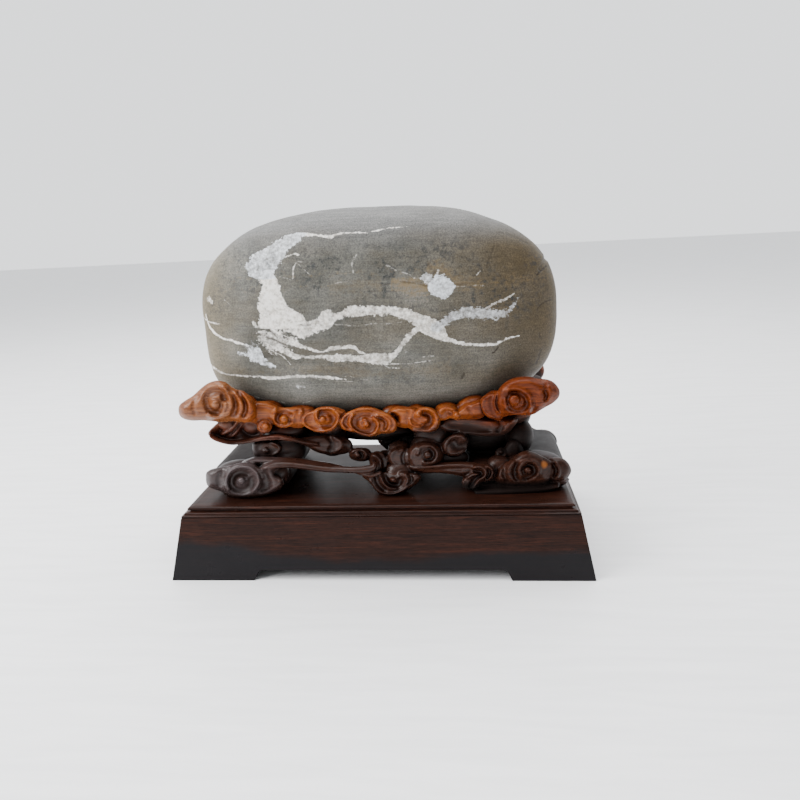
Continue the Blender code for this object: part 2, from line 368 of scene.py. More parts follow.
def strand(store, path, thick=5, ribs=2, rib=0.4):
    """A carved ribbon along a path of (x, y, z, width), with ribs along its face."""
    both = smooth_line(path, STRAND_STEP, wide=4)
    line, widths = both[:, :3], both[:, 3]
    along = np.gradient(line, axis=0)
    across = np.column_stack([-along[:, 2], np.zeros(len(line)), along[:, 0]])
    across /= np.maximum(np.linalg.norm(across, axis=1), 1e-9)[:, None]
    travelled = np.concatenate([[0], np.cumsum(np.linalg.norm(np.diff(line, axis=0), axis=1))])
    to_end = np.minimum(travelled, travelled[-1] - travelled)
    taper = np.sqrt(np.clip(1 - (1 - np.clip(to_end / (0.6 * widths), 0, 1)) ** 2, 0.02, 1))
    angles = 2 * np.pi * np.arange(SIDES) / SIDES
    u, v = np.cos(angles), np.sin(angles)
    relief = 0 * u
    if ribs:
        relief = rib * (abs(np.cos(math.pi * ribs * (u + 1) / 2)) - 0.6) * np.clip(v, 0, 1)
    places = []
    for centre, side, half, size in zip(line, across, widths / 2, taper):
        ring = centre + (u * half * size)[:, None] * side
        ring[:, 1] -= (v * thick / 2 + relief) * size
        places.append(ring)
    last = (len(line) - 1) * SIDES
    faces = [face for i in range(0, last, SIDES) for face in ring_faces(i, i + SIDES, SIDES)]
    faces += [tuple(range(SIDES)), tuple(range(last, last + SIDES))]
    store.add(np.vstack(places), faces)


# Each form is (its maker, its tier, its values), for the front; the back has the same carving. Lines
# and outlines are runs of x, z, and a strand's path is a run of x, y, z, width, all in millimetres.
CARVING = (
    # left_wing
    (plate, "upper", dict(depth=-46, centre=(-99.7, 115.6), thick=14, edge=(3.8, 4.6), dome=2.5,
    outline=(-130.2, 112.2, -128.7, 115.8, -124.5, 118.7, -118.4, 122.1, -112.5, 126.8, -107.2, 130.1,
    -101.4, 131.6, -95.6, 130.5, -91.8, 127.2, -88.5, 125.2, -83.5, 123.7, -79.2, 119.4, -77.1, 113.8,
    -76.9, 108.8, -79, 104.3, -83.2, 102.4, -88, 102.7, -94.1, 103.4, -100.2, 103, -107.5, 103.7, -114,
    104.5, -121.4, 104.5, -126.7, 105.6, -129.8, 108.2),
    crests=((2, 3.2, (-97.6, 127.1, -94, 123, -93, 117.5, -94.4, 111.8, -98.2, 107.8, -103.9, 106.3,
    -109, 107.4)), (1.9, 2.3, (-97.1, 116, -98, 111.9, -101.6, 108.5)), (1.2, 2.7, (-89.6, 122.6,
    -86.8, 117.6, -86.5, 112.7, -88.7, 107.6)), (1.1, 2.7, (-83.8, 121.4, -80, 115.5, -79.7, 109.7,
    -82.8, 105.1))),
    grooves=((1, 2.3, (-115.3, 121, -118.4, 117.4, -119.8, 113.3, -119.2, 109.6)), (2.7, 4.2, (-97.6,
    119.2, -98.1, 123.1, -101.9, 124.3, -106.9, 122.8, -109.4, 118.7, -109.4, 114.3, -106.9, 110.9,
    -102.7, 110.2)), (1.9, 3.1, (-94.1, 123.7, -91.2, 119.1, -90.6, 113.8, -92.9, 108.3)), (2.2, 2.3,
    (-87.5, 122.6, -84.3, 117.2, -84, 111.5, -86.2, 107.1))),
    bosses=((-104.4, 115.1, 3.3, 2.2),))),
    # leaf
    (plate, "middle", dict(depth=-36, centre=(-96.3, 93.3), thick=7, edge=(1.2, 1.5), dome=0.4,
    dish=(4.5, 5), rim=(1.4, 1.6, 0.9),
    outline=(-116.3, 92.3, -114.6, 89, -110.6, 86.7, -105.1, 85.2, -98.1, 84.3, -91, 84.9, -83.7, 86.5,
    -78.7, 87.9, -76.6, 93.6, -80.2, 99.4, -88.9, 102.5, -99.4, 102.7, -106.7, 100.4, -112.2, 96.6),
    crests=((4.1, 2.5, (-93.9, 101.1, -97.3, 96.9, -100.4, 94.1, -105.8, 91.4)), (2.6, 2.1, (-89.9,
    99.6, -94.8, 94, -99.6, 89.4)), (1.7, 2.5, (-107.6, 98.6, -110.2, 95.1, -112.8, 91.5))),
    grooves=((3.6, 7.2, (-89.2, 94.2, -85.8, 93.1)),))),
    # leaf_rim
    (strand, "middle", dict(path=(-114.5, -37, 92.6, 1.2, -112.7, -38, 90, 2, -107.1, -38.5, 87.4, 2.3,
    -99.4, -38, 85.4, 2.3, -90.6, -37.5, 85.8, 2.2, -79.8, -37, 87.3, 2))),
    # leaf_rim_b
    (strand, "middle", dict(path=(-87.9, -37, 86.6, 2, -76.2, -37.5, 89.3, 1.8, -67.1, -38, 90, 1.7,
    -58.7, -37, 87.9, 1.8, -49.5, -36, 84.7, 1.7, -39, -35, 82.7, 1.2))),
    # leaf_rim_c
    (strand, "middle", dict(ribs=1,
    path=(-96.6, -38, 85.7, 1.2, -85.3, -38, 86.7, 1.6, -76.6, -37, 87.5, 1.6, -65.7, -36, 87.5, 1.6,
    -54.8, -36, 85.5, 1.6, -46.4, -35, 82.7, 1.5, -39.3, -34, 81.3, 1))),
    # left_band
    (plate, "upper", dict(depth=-39.5, centre=(-68.6, 106.6), thick=10, edge=(3, 4.5), dome=2.2,
    outline=(-83.1, 112, -80.9, 114.3, -76.4, 115.1, -71.1, 114.7, -66.4, 112.6, -62.7, 110.5, -56.6,
    110.2, -50.1, 110.2, -46.1, 107.7, -46.1, 101.9, -47.9, 96.4, -53.2, 95.6, -58, 96.4, -61.7, 95.6,
    -65.9, 96.6, -69.2, 99, -74, 100.1, -80.2, 100.2, -83.5, 102.9, -84, 107.4),
    crests=((1.7, 2.1, (-65.4, 109.9, -67.5, 105.3, -67.7, 100.9, -65, 97.9, -60.9, 96.7, -55.8,
    98.7)), (1, 2.7, (-79.1, 113.3, -72.6, 112.9, -67, 110.3))),
    grooves=((2.2, 2.6, (-55.8, 105, -59.6, 106.8, -63.3, 105.5, -65.2, 102.3, -64.3, 98.9)), (1.2,
    2.6, (-50.4, 107.5, -52.4, 102.9, -51.6, 98.2))),
    bosses=((-61.1, 101.6, 3.2, 3.4),))),
    # low_knob
    (plate, "upper", dict(depth=-40.5, centre=(-74.5, 97.2), thick=8, edge=(2.2, 3), dome=1,
    outline=(-79.4, 99.6, -77.3, 102.9, -73.6, 103.8, -70.2, 102.4, -68.9, 99, -70, 95, -73.2, 92.7,
    -77.1, 93.1, -79.5, 95.5),
    crests=((1.2, 1.9, (-78.7, 96.1, -76.3, 94.1, -72.7, 94.3, -70, 97.3)),),
    bosses=((-73.7, 97.6, 2.6, 2.8),))),
    # scroll_three
    (plate, "upper", dict(depth=-41, centre=(-34.7, 101.3), edge=(2.4, 2.4), dome=1,
    outline=(-48.7, 101, -46.9, 104.7, -43.7, 106.7, -40.2, 107.7, -36.7, 110, -31.3, 110.6, -25.9,
    110.3, -21.3, 108.9, -18.2, 106.8, -20.4, 103.7, -22.6, 101, -24.3, 97.6, -26.8, 94.8, -31.4, 93,
    -36.9, 92.6, -41.5, 93.8, -45.4, 96, -47.9, 98.1),
    crests=((2, 1.8, (-36.8, 108.3, -41, 107.1, -45.2, 105.3, -47.4, 102.3, -47.2, 98.8, -44.1, 95.7,
    -39.5, 93.7, -34.1, 93.4, -29.2, 94.9)), (2.3, 1.7, (-36.5, 108.3, -38.3, 105.6, -38.3, 102.8,
    -36.8, 100.7, -34.5, 99.9)), (1.9, 2, (-26.1, 108, -23.5, 104.5, -24.4, 99.7, -27.4, 95.9)), (1,
    1.7, (-35.4, 109.2, -28.7, 109.2, -22.8, 107.7))),
    grooves=((2.7, 3.9, (-34.9, 107.2, -30.2, 106.8, -27.1, 103.9, -27.1, 100.4, -30, 97.7, -34.4,
    97.5)), (2.3, 6.5, (-43.4, 102.9, -42.4, 99.1, -38.5, 96.5))),
    bosses=((-34.2, 101.7, 2.2, 2.6),))),
    # scroll_four
    (plate, "upper", dict(depth=-42, centre=(-4.5, 100.2), edge=(2.4, 2.4), dome=1,
    outline=(-22.7, 97.9, -22.4, 101.3, -20.2, 104.4, -16.7, 106.7, -13.2, 108.3, -8.5, 109.6, -3.2,
    109.8, 2, 108.8, 6.5, 106.8, 10.4, 105, 13.5, 102.5, 15.3, 99.4, 15.4, 95.6, 13.6, 92.5, 10.2,
    91.2, 6.2, 91.3, 3.6, 91, 0.8, 89.7, -3.2, 89.1, -7.8, 90.2, -12.4, 92.1, -17, 93.2, -20.9, 94.7),
    crests=((1.8, 1.8, (-14, 107.3, -18.1, 105, -21.3, 101.3, -21.4, 97.8, -19.2, 95.1, -15, 93.3)),
    (2.6, 1.7, (-13.5, 104.6, -15.9, 101.2, -15.5, 97, -12.9, 93.8, -8.4, 91.3, -3.2, 90.2, 0.6, 92.3,
    2.5, 95.9, 2.3, 99.7, -0, 102.2)), (1.4, 1.8, (3, 103.8, 6.9, 102.7, 10.4, 100.2, 10.5, 96.4, 7.7,
    93)), (1.6, 1.8, (-13.3, 107.5, -7.9, 108.7, -1.9, 108.5, 4.5, 106.7, 9.7, 104.2, 13.4, 100.9,
    14.3, 97, 12, 92.9))),
    grooves=((2, 4.2, (-2.2, 104.6, -7.5, 104.4, -11.7, 101.8, -12.5, 97.6, -10.2, 94.1, -6.3, 93.3,
    -2.5, 94.6, -0.7, 97.7)), (1.6, 2.1, (4.6, 102.4, 7.1, 100.6, 8.1, 97.8, 7.1, 94.7)), (0.9, 3.1,
    (-17.7, 101.9, -18.6, 98.5, -16.9, 95.3))),
    bosses=((-4.9, 97.7, 2.2, 2.9), (-5.8, 100.8, 1.7, 1.6)))),
    # scroll_five_lobe
    (plate, "upper", dict(depth=-39.5, centre=(19.9, 102.3), edge=(2.8, 4), dome=2,
    outline=(9.1, 104.1, 11.6, 107.4, 15.9, 109.4, 21.3, 108.9, 26, 108.2, 29.7, 106.1, 28.2, 101,
    26.6, 95.1, 22.1, 93.7, 16.8, 94.5, 13.8, 97, 14.9, 100.5, 12.8, 103),
    grooves=((1, 2.6, (23.3, 104.7, 22.1, 100.3, 23.5, 95.8)),))),
    # scroll_five
    (plate, "upper", dict(depth=-41, centre=(31.7, 99.7), edge=(2.2, 2.2), dome=0.8,
    outline=(22.1, 99.2, 23, 102.7, 25.4, 105, 28, 106, 30.1, 107.9, 34, 108.7, 37.9, 108.1, 41.1, 106,
    43.2, 102.8, 43.7, 98.7, 42.6, 94.6, 39.9, 91.6, 36.6, 90.8, 32.6, 91, 28.7, 91.5, 24.8, 92.3,
    22.9, 95.1),
    crests=((2.4, 2.9, (28.9, 103.5, 29.6, 106.2, 32.7, 107.3, 37.2, 106.8, 40.6, 104.3, 41.8, 99.8,
    40.4, 95.4, 37, 92.7, 32, 92.1, 26.1, 92.9)), (1.7, 1.6, (23.3, 99.9, 24.6, 96.4, 28.2, 95, 32.2,
    95.8))),
    grooves=((2.8, 3.1, (33.5, 104.4, 36.8, 103, 37.6, 99.9, 35.9, 96.9, 32.2, 95.6)), (1.6, 2, (24.2,
    94, 30.1, 93.3, 35.4, 93.8)), (1.1, 2.1, (26, 104, 26.2, 100.5, 29, 98.1))),
    bosses=((29.7, 103, 1.5, 2.2),))),
    # small_arc
    (plate, "upper", dict(depth=-40, centre=(50.1, 103), edge=(2.4, 3.2), dome=1.2,
    outline=(41.5, 106, 43.7, 108.5, 47.8, 109.7, 51.8, 108.6, 55.7, 106, 58.1, 102.6, 57.7, 99.7,
    54.9, 98.5, 52.1, 99.6, 49.3, 99.9, 45.9, 98.7, 42.2, 99.1, 40.7, 102.1),
    crests=((1.8, 2.1, (43, 104.7, 45.8, 107.2, 49.5, 107.4, 52.9, 105.7)),),
    grooves=((1.6, 2.6, (46, 102, 48.5, 104.5, 51.3, 103.5)),),
    bosses=((54.2, 101.8, 2.9, 3),))),
    # right_band
    (plate, "upper", dict(depth=-40, centre=(65, 105.4), thick=10, edge=(3, 4.5), dome=2.2,
    outline=(53.4, 103.7, 56.3, 106.9, 60.1, 109.4, 64.7, 110.9, 69.3, 112.3, 73.3, 111.6, 73.8, 106.4,
    72.5, 101.3, 69.1, 99.4, 63.2, 99, 57.4, 99.4, 54.3, 100.5),
    crests=((1, 2.5, (56.3, 104.3, 61.6, 107.7, 68.4, 109.8)),),
    grooves=((1.1, 2.3, (62.5, 106.7, 63.7, 103.8, 62.6, 100.9)),))),
    # right_wing_lobes
    (plate, "right_wing", dict(depth=-42.5, centre=(78.4, 109.1), thick=11, edge=(2.8, 3), dome=1.6,
    outline=(69.5, 109.4, 70.2, 113.4, 72.8, 116, 76, 117.5, 80.4, 118.4, 84.2, 117.6, 85.4, 112.3, 86,
    105.6, 84, 100.3, 81.5, 98.3, 78.3, 99.4, 74.5, 100.8, 71.3, 104),
    crests=((1.7, 1.8, (72.1, 113.6, 70.6, 110, 71.4, 106, 74.5, 102.1, 78.3, 100.4)), (1.8, 1.5,
    (80.4, 116.4, 78.8, 111.5, 79.5, 106.8, 81.5, 103.7))),
    grooves=((1, 2.9, (77.9, 116.5, 76.7, 111.2, 77.6, 106.5, 79.6, 102.1)), (1.3, 2.9, (81.9, 115.7,
    80.7, 110.7, 81.6, 106.4))))),
    # right_wing
    (plate, "right_wing", dict(depth=-46, centre=(97.1, 114.9), thick=14, edge=(3.6, 4.6), dome=2.4,
    outline=(80.6, 118.7, 82.2, 121.8, 84.9, 124.5, 89.1, 126.9, 94.6, 128.1, 100.5, 128, 105.7, 126.6,
    110.7, 126.2, 114.6, 124.6, 117.8, 121.4, 119.3, 117.6, 118.5, 114, 115.3, 110.6, 110.6, 107.9,
    106.7, 105.5, 103.2, 103.4, 98.4, 102.9, 91.9, 103.3, 87.1, 102.8, 83.2, 102.3, 80.5, 106.8, 79.4,
    112.8),
    crests=((2, 2.5, (85.3, 113, 85.9, 108.3, 88.9, 105, 93.9, 103.9, 99, 105.1, 101.4, 109.1, 100.5,
    114.1, 97.3, 117.9, 91.9, 120.3, 87.2, 119.5)), (1.2, 4.7, (82.5, 118.7, 87.8, 123.8, 95.2, 125.7,
    102, 124.6, 107.3, 120.5, 108.8, 115.1, 106.4, 109.3)), (1, 2.3, (112.3, 121, 113.8, 117.1, 112,
    112.9))),
    grooves=((2.3, 3.4, (89.9, 118.5, 94.6, 118.3, 98.1, 115.1, 99, 110.7, 96.6, 107, 92.5, 105.8,
    88.6, 107.3)), (1.2, 2.3, (102, 112.8, 103.2, 109.4, 102.3, 105.9)), (2.5, 2, (109.9, 118.5, 110.8,
    115.7, 110, 112.9)), (0.9, 2.1, (107.8, 124.4, 110.2, 122.5, 111.1, 119.8))),
    bosses=((91.1, 113, 3.6, 3.4),))),
    # dark_scroll
    (plate, "middle", dict(depth=-34, centre=(-76.1, 78.4), edge=(2.4, 3.2), dome=1.2,
    outline=(-86.7, 82.4, -84, 85, -77.3, 85.7, -70.5, 85.2, -66.4, 83.1, -64.8, 79.2, -66.9, 75.4,
    -71.8, 73.1, -78.8, 72.1, -85, 73.3, -87, 77),
    crests=((1.9, 2.3, (-72.4, 84.1, -68.3, 81, -68.5, 76.8, -72.8, 73.7)),),
    grooves=((1.3, 2.9, (-81.2, 83, -83.4, 78.9, -81.5, 74.6)),),
    bosses=((-77.4, 78, 2.2, 1.8),))),
    # grooved_lobe
    (plate, "middle", dict(depth=-34, centre=(-33.8, 81.2), edge=(2.4, 4), dome=1.8,
    outline=(-57.2, 85.6, -50.4, 86.9, -42, 88, -33.8, 88.5, -25.6, 87.7, -19.5, 85.5, -16.8, 82,
    -17.5, 77.6, -21.3, 74.9, -28.3, 73.9, -36.6, 74.4, -43.1, 76.7, -48.5, 80.2, -54.1, 82.8),
    crests=((1.7, 2.3, (-28.9, 87, -24.9, 83.6, -25.3, 79.1, -29.3, 75.3)), (1.2, 2.1, (-44.4, 79.5,
    -38.1, 76.6, -29.9, 75.3))),
    grooves=((1.8, 2.9, (-32.6, 86.5, -30.3, 82, -32.7, 76.8)), (1.1, 2.6, (-21.6, 84.9, -19.9, 81,
    -22.2, 76.6))))),
    # small_scroll
    (plate, "middle", dict(depth=-35, centre=(-11.3, 74.2), edge=(2.2, 2.8), dome=1,
    outline=(-19.6, 73.9, -18.3, 77.2, -15.3, 78.9, -10.4, 79.2, -5.9, 78.1, -4.1, 74.9, -5.7, 70.8,
    -9.4, 69.2, -14.4, 69.5, -18.2, 71.1),
    crests=((1.7, 1.8, (-18.1, 75.9, -14, 77.9, -9.6, 76.7, -7.8, 73.9, -9.3, 70.9)),),
    grooves=((1.6, 2.2, (-11.6, 76.1, -10.1, 73.7, -11.9, 70.9)),),
    bosses=((-13.7, 73.7, 2.2, 2.2),))),
    # fold_knob
    (plate, "middle", dict(depth=-37, centre=(0.2, 67.9), edge=(2.4, 3.4), dome=1.4,
    outline=(-5.6, 73.6, -3.1, 76.3, 0.8, 77.2, 4.6, 75.5, 7, 71.7, 7.4, 66.9, 6.1, 62.7, 3, 60, -1.6,
    59.7, -4.4, 61.8, -5.4, 67.1),
    crests=((1.8, 2.3, (-3.2, 74.6, 0.8, 71.8, 1.8, 67, -0.8, 61.8)),),
    grooves=((1.6, 2.3, (1.6, 74.9, 4.3, 70, 3.6, 64.2)),))),
    # big_cloud_lobe
    (plate, "middle", dict(depth=-38, centre=(14.7, 70.9), edge=(2.6, 3.4), dome=1.6,
    outline=(6.8, 73.1, 8.7, 77.2, 12.6, 79.5, 18.1, 80.3, 21.9, 78.9, 23.3, 73.8, 23, 68, 21.1, 62.8,
    16.3, 62.9, 11.6, 65.1, 8.2, 68.6),
    crests=((1.6, 2.3, (12.9, 78.4, 9.2, 74.4, 9.5, 69.3, 13.5, 65.4)),),
    grooves=((1.9, 2.3, (20, 78, 17.5, 72.9, 18.5, 67.4, 20.5, 63.6)),))),
    # big_cloud
    (plate, "middle", dict(depth=-39.5, centre=(33.1, 73.3), thick=10, edge=(3, 4.2), dome=2.6,
    outline=(19.8, 72.4, 20.7, 77.1, 23.4, 80.8, 27.4, 83.1, 32.8, 84, 38.4, 83.1, 42.7, 80.4, 44.7,
    76, 44.3, 70.9, 42.2, 66.6, 37.6, 63.6, 31.8, 61.9, 25.4, 62.4, 21.4, 66.3),
    crests=((1.8, 2.1, (27.6, 75.7, 29.8, 80.4, 35.2, 81.6, 39.8, 78.5, 40.5, 73.7, 36.9, 69.7, 31.5,
    69.5)), (1.2, 2.5, (22.4, 72.3, 23.5, 77.1, 27.2, 80.7))),
    grooves=((1.8, 2.3, (36, 79.2, 38.4, 75.8, 37.3, 71.8, 33.5, 70.8)),),
    bosses=((34.2, 74.7, 2.6, 3),))),
    # hook_curl
    (plate, "middle", dict(depth=-37.5, centre=(52.6, 80), edge=(2, 3), dome=1,
    outline=(43, 79.7, 45, 83.6, 48.2, 86.6, 52.1, 88.5, 56.8, 88.9, 59.8, 87.2, 61, 83, 60.3, 78,
    57.9, 74.7, 53.8, 72.7, 49, 72.8, 45, 75.2),
    crests=((1.9, 2.3, (45.4, 77.6, 46.8, 82.6, 50.7, 86.2, 56.4, 87.1, 59.2, 84.7)), (1.4, 2.1, (49.1,
    74.5, 53.8, 74.4, 58, 76.7))),
    grooves=((3.4, 4.7, (52.2, 82.5, 54, 79.4, 57.1, 79.7)),))),
    # boat
    (plate, "middle", dict(depth=-34, centre=(68.1, 91.7), thick=8, edge=(2.6, 3.6), dome=1.6,
    outline=(40.8, 94.2, 45.7, 97.8, 53.6, 98.9, 63, 99, 72.3, 98.1, 81.7, 97.6, 91, 98, 94.3, 96.6,
    92.4, 92.4, 88.3, 87.8, 83.1, 85.3, 73.7, 84.8, 64.3, 85.7, 54.8, 86.6, 47, 88.4, 42.3, 90.9),
    crests=((1.4, 1.9, (90.9, 96.4, 88.4, 92.2, 85, 88.3)), (1.4, 1.9, (56.4, 88.2, 67.4, 87, 80,
    87.1))),
    grooves=((2.1, 5.2, (50.3, 94.4, 62.8, 93.1, 73.8, 90.8)), (1.8, 2.6, (81.9, 95.6, 83.4, 91.9,
    81.2, 89))))),
    # dark_knob
    (plate, "middle", dict(depth=-31, centre=(83.8, 72), edge=(2.2, 2.4), dome=1,
    outline=(79.1, 70.6, 80.2, 74.5, 83.8, 76.2, 87.5, 74.4, 88.4, 70.8, 86.4, 67.6, 82.1, 67.3),
    crests=((1.2, 1.3, (80.4, 70.2, 83.1, 68.7, 86.4, 70.1)),),
    bosses=((83.1, 72.7, 1.6, 2),))),
    # mound
    (plate, "middle", dict(depth=-30, centre=(91.2, 72.9), edge=(2.6, 3.4), dome=1.8,
    outline=(85.2, 74.4, 87.9, 79.4, 92.5, 81.4, 96.5, 78.5, 98.1, 74.2, 97.8, 68.5, 92.5, 65, 87.1,
    65, 84.5, 69.4))),
    # left_foot
    (plate, "lower", dict(depth=-48, centre=(-91.4, 60.7), thick=13, edge=(3.4, 4.2), dome=1.6,
    outline=(-117.1, 64.4, -116.3, 67.8, -113, 70.2, -107.8, 71.5, -101.8, 72.4, -97.2, 73.3, -92.5,
    74.6, -87.1, 75.3, -82.3, 74.2, -79, 71.4, -76.4, 73.3, -72.7, 74.6, -68.1, 74.9, -64.2, 74.5,
    -63.1, 72.8, -65.8, 70.4, -68.4, 68.4, -68.7, 66, -65.9, 64.6, -63.5, 62.2, -63.4, 58, -66.3, 54.9,
    -71.8, 52.2, -78.5, 49.7, -85.7, 48.3, -93.3, 47.6, -99.4, 48.6, -104.1, 51, -107.6, 53.8, -111.9,
    55.5, -116, 57.6, -117.3, 60.5),
    crests=((2.6, 2.5, (-102.6, 55.5, -102.9, 60.9, -100.9, 66.3, -96.6, 70.4, -91.4, 72.1, -85.9,
    71.4, -81.9, 68.3, -80, 63.8, -80.7, 58.7, -84.5, 54.3)), (1.4, 2.1, (-99.8, 72.1, -94.6, 74,
    -89.1, 74.2, -83, 72.5, -78.9, 69, -77.1, 64.2)), (1.2, 2.7, (-79.2, 51.7, -72.6, 54.3, -66.7,
    57.8, -64.1, 62.1)), (1.4, 2.1, (-75.7, 70.4, -70.5, 73, -65, 73.9))),
    grooves=((3, 4.2, (-85.2, 63.1, -86.3, 59.2, -89.1, 56.2, -93.2, 55, -97.5, 56.7, -98.9, 61.3,
    -96.6, 65.8, -91.9, 67.8, -87.6, 66.8)), (3.2, 6, (-76.2, 65.2, -75.1, 60.9, -76.8, 56.1)), (1.3,
    3.1, (-104.7, 68.5, -107.7, 63.9, -108.2, 58.8))),
    bosses=((-92.5, 61.6, 2.9, 3.2),))),
    # ribbon_root
    (strand, "lower", dict(thick=5.5, rib=0.5,
    path=(-73.2, -47, 70.2, 3.2, -69.2, -46, 71.9, 4.6, -62.4, -45.5, 72, 4.4, -54.3, -45, 71.3,
    4.2))),
    # ribbon_one
    (strand, "lower", dict(rib=0.6,
    path=(-59.8, -45, 71.5, 4.2, -51.6, -45, 70.8, 4.2, -42.2, -45, 69.3, 4.2, -32.7, -45, 68, 4.2,
    -24.6, -45, 67.5, 4.2))),
    # ribbon_two
    (strand, "lower", dict(ribs=3, rib=0.6,
    path=(-31.3, -45, 68, 4.2, -20.5, -45, 67.4, 4.2, -12.4, -45, 67, 4.6, -7.1, -44.5, 67, 5.2, -3,
    -44, 67.8, 5, -0.9, -43.5, 69.5, 3.4, -2.2, -43, 71.7, 1.6))),
    # flare
    (strand, "lower", dict(ribs=1,
    path=(-14, -44, 65.5, 2.4, -7.4, -44, 63.6, 2.8, -2, -44, 63.2, 2.8, 3.5, -44, 64.9, 2))),
    # back_ribbon
    (strand, "lower", dict(thick=8, ribs=1,
    path=(-93.1, -41, 71.8, 1.8, -84.4, -41, 73.9, 3.2, -73.2, -41, 73.8, 3.4, -59.3, -41, 73, 3.2,
    -47, -41, 71.4, 3, -34.8, -41, 69.3, 2.8, -22.6, -41, 66.7, 2))),
    # centre_foot
    (plate, "lower", dict(depth=-45, centre=(10.7, 58), thick=12, edge=(2.6, 2.6), dome=0.8,
    outline=(-10, 62.6, -5.8, 64.7, -1.8, 63.6, 2.3, 64.6, 7.7, 65.2, 13.1, 65.8, 18.4, 65.4, 23, 64.2,
    27.7, 63.5, 29.6, 61.3, 28.1, 58.4, 24.6, 55.2, 21.1, 52.4, 16.3, 49.6, 11.5, 47.9, 6, 47.6, 1.4,
    49.4, -1.8, 52.3, -4, 56, -6.8, 59.3),
    crests=((2.2, 1.8, (-4.5, 58.6, -1.8, 53.5, 2.4, 49.9, 8.1, 48.9, 13.6, 50.1, 18.5, 52.9, 22.7,
    56.4)), (2.3, 1.6, (2.8, 61.3, 4.4, 57.1, 7.7, 54, 12.4, 53)), (1.8, 1.5, (19.5, 62.9, 20.6, 58.9,
    18.8, 55))),
    grooves=((2.9, 3.2, (5.9, 63.1, 6.9, 58.7, 9.9, 56.1, 13.7, 56.2, 15.9, 59.7)), (1.9, 2.5, (-0.6,
    61.7, 1.1, 56.7, 4.6, 52.6)), (1.9, 1.8, (22.1, 63.5, 23.4, 59.6, 21.6, 55.7)), (2.6, 3.9, (8.3,
    63.6, 13, 63.7))),
    bosses=((10.7, 59.1, 2.2, 2.8),))),
    # right_ribbon
    (plate, "lower", dict(depth=-41.5, centre=(44.9, 66.7), edge=(2.6, 3.4), dome=1.2,
    outline=(21.1, 68.7, 29.1, 69.3, 40.2, 70, 49.7, 70.4, 59.1, 70.3, 66.9, 69.3, 71.2, 67.2, 68.3,
    63.5, 62.9, 60.9, 57.9, 59.6, 49.4, 61.5, 39.9, 62.5, 30.4, 62.6, 23.1, 64.2),
    crests=((1.2, 2.3, (27.3, 67, 40.1, 67.5, 52.7, 68, 65.3, 67.3)),),
    grooves=((0.9, 2.3, (33.6, 64.8, 44.8, 65.3, 55.8, 65.1)),))),
    # hook
    (plate, "lower", dict(depth=-43, centre=(66.6, 61.3), thick=11, edge=(2.4, 2.4), dome=1,
    outline=(56.2, 55.7, 57.3, 58.9, 60, 61, 62, 63.5, 62.8, 66.7, 66.1, 68.7, 71.3, 69.4, 75.9, 67.5,
    78.4, 63.9, 77.7, 59.7, 74.4, 56.9, 70.4, 56.2, 67.8, 54.1, 66.1, 51.6, 61.7, 50.6, 58.1, 52.5),
    crests=((2.6, 1.8, (64.1, 67, 68.7, 67.1, 72.1, 64.3, 71.8, 60.5, 68.5, 58.3, 66.5, 55.6, 64.6,
    52)), (1.9, 1.5, (73.9, 67.3, 76.8, 64, 76.1, 59.7, 73.1, 57.3)), (1.7, 1.4, (57.2, 56.8, 58.5,
    53.1, 61.4, 51.3)), (1.9, 1.6, (60.3, 59.5, 63.6, 61.3, 66.6, 61.6))),
    grooves=((2.3, 2.2, (65.3, 64.4, 69.3, 63.4, 69.2, 60.5, 65.9, 59.2, 63.5, 56.3, 61.8, 52.8)),
    (1.6, 1.7, (74.3, 65.8, 74.9, 62.6, 73.1, 59.1))))),
    # right_under
    (plate, "lower", dict(depth=-39.5, centre=(91.7, 53), thick=12, edge=(6, 9), dome=2,
    outline=(58.1, 55, 65.1, 58, 84, 58.1, 108.9, 57.7, 125.6, 57.1, 126.3, 54, 121.4, 50.7, 112.1,
    47.7, 102.8, 45.9, 91.8, 45.4, 80.8, 45.7, 69.6, 46.9, 61.4, 49.1))),
    # right_foot
    (plate, "lower", dict(depth=-43.5, centre=(99.8, 64.5), thick=13, edge=(3.4, 4.6), dome=2.2,
    outline=(78.2, 59.8, 80.1, 64.1, 82.6, 67.5, 87, 70.7, 91, 74, 94.7, 76.9, 99.2, 78, 103.8, 76.7,
    108.4, 74.3, 113, 71.3, 115.5, 68.2, 115.5, 62.6, 114, 57.9, 110.1, 54.3, 103.9, 52.6, 96.2, 52.5,
    88.4, 53.2, 82.5, 54.6, 78.8, 56.8),
    crests=((2, 2.5, (95.3, 60.2, 94, 65, 96.2, 68.9, 100.5, 70.5, 105.1, 68.8, 106.9, 64.4, 105.4,
    60.1, 101.1, 57.8)), (1.7, 2.5, (89.8, 70, 87.5, 65.1, 88.1, 59.7, 90.9, 55.5)), (1.1, 2.3, (82.3,
    64.8, 81.3, 60.8, 83.5, 57.7))),
    grooves=((2, 3.1, (99.9, 68.5, 103.2, 66.8, 104.2, 63.1, 102, 59.8, 98, 59.2)), (1.6, 2.6, (93.1,
    69, 91.3, 63.9, 92.5, 58.3)), (1.2, 2.6, (85.4, 67.1, 84.4, 62.4, 86, 57.3)), (1.3, 3.1, (110.8,
    70.3, 112.4, 65.6, 111.9, 60.3))),
    bosses=((99.8, 64.4, 2.6, 3),))),
    # right_end
    (plate, "lower", dict(depth=-39, centre=(119.7, 62.4), thick=10, edge=(3, 3.6), dome=1.6,
    outline=(112.6, 68.1, 114.5, 70.5, 118.3, 71.2, 122.9, 70.4, 126.1, 67.5, 128.1, 63.6, 128.2, 60.4,
    126.3, 56.9, 123.1, 54.5, 118.5, 53.1, 114, 53.2, 112, 57.5, 111.3, 63.2),
    crests=((1.8, 1.5, (118.4, 67.3, 120.6, 63, 120, 58.5, 117.2, 55.3)),),
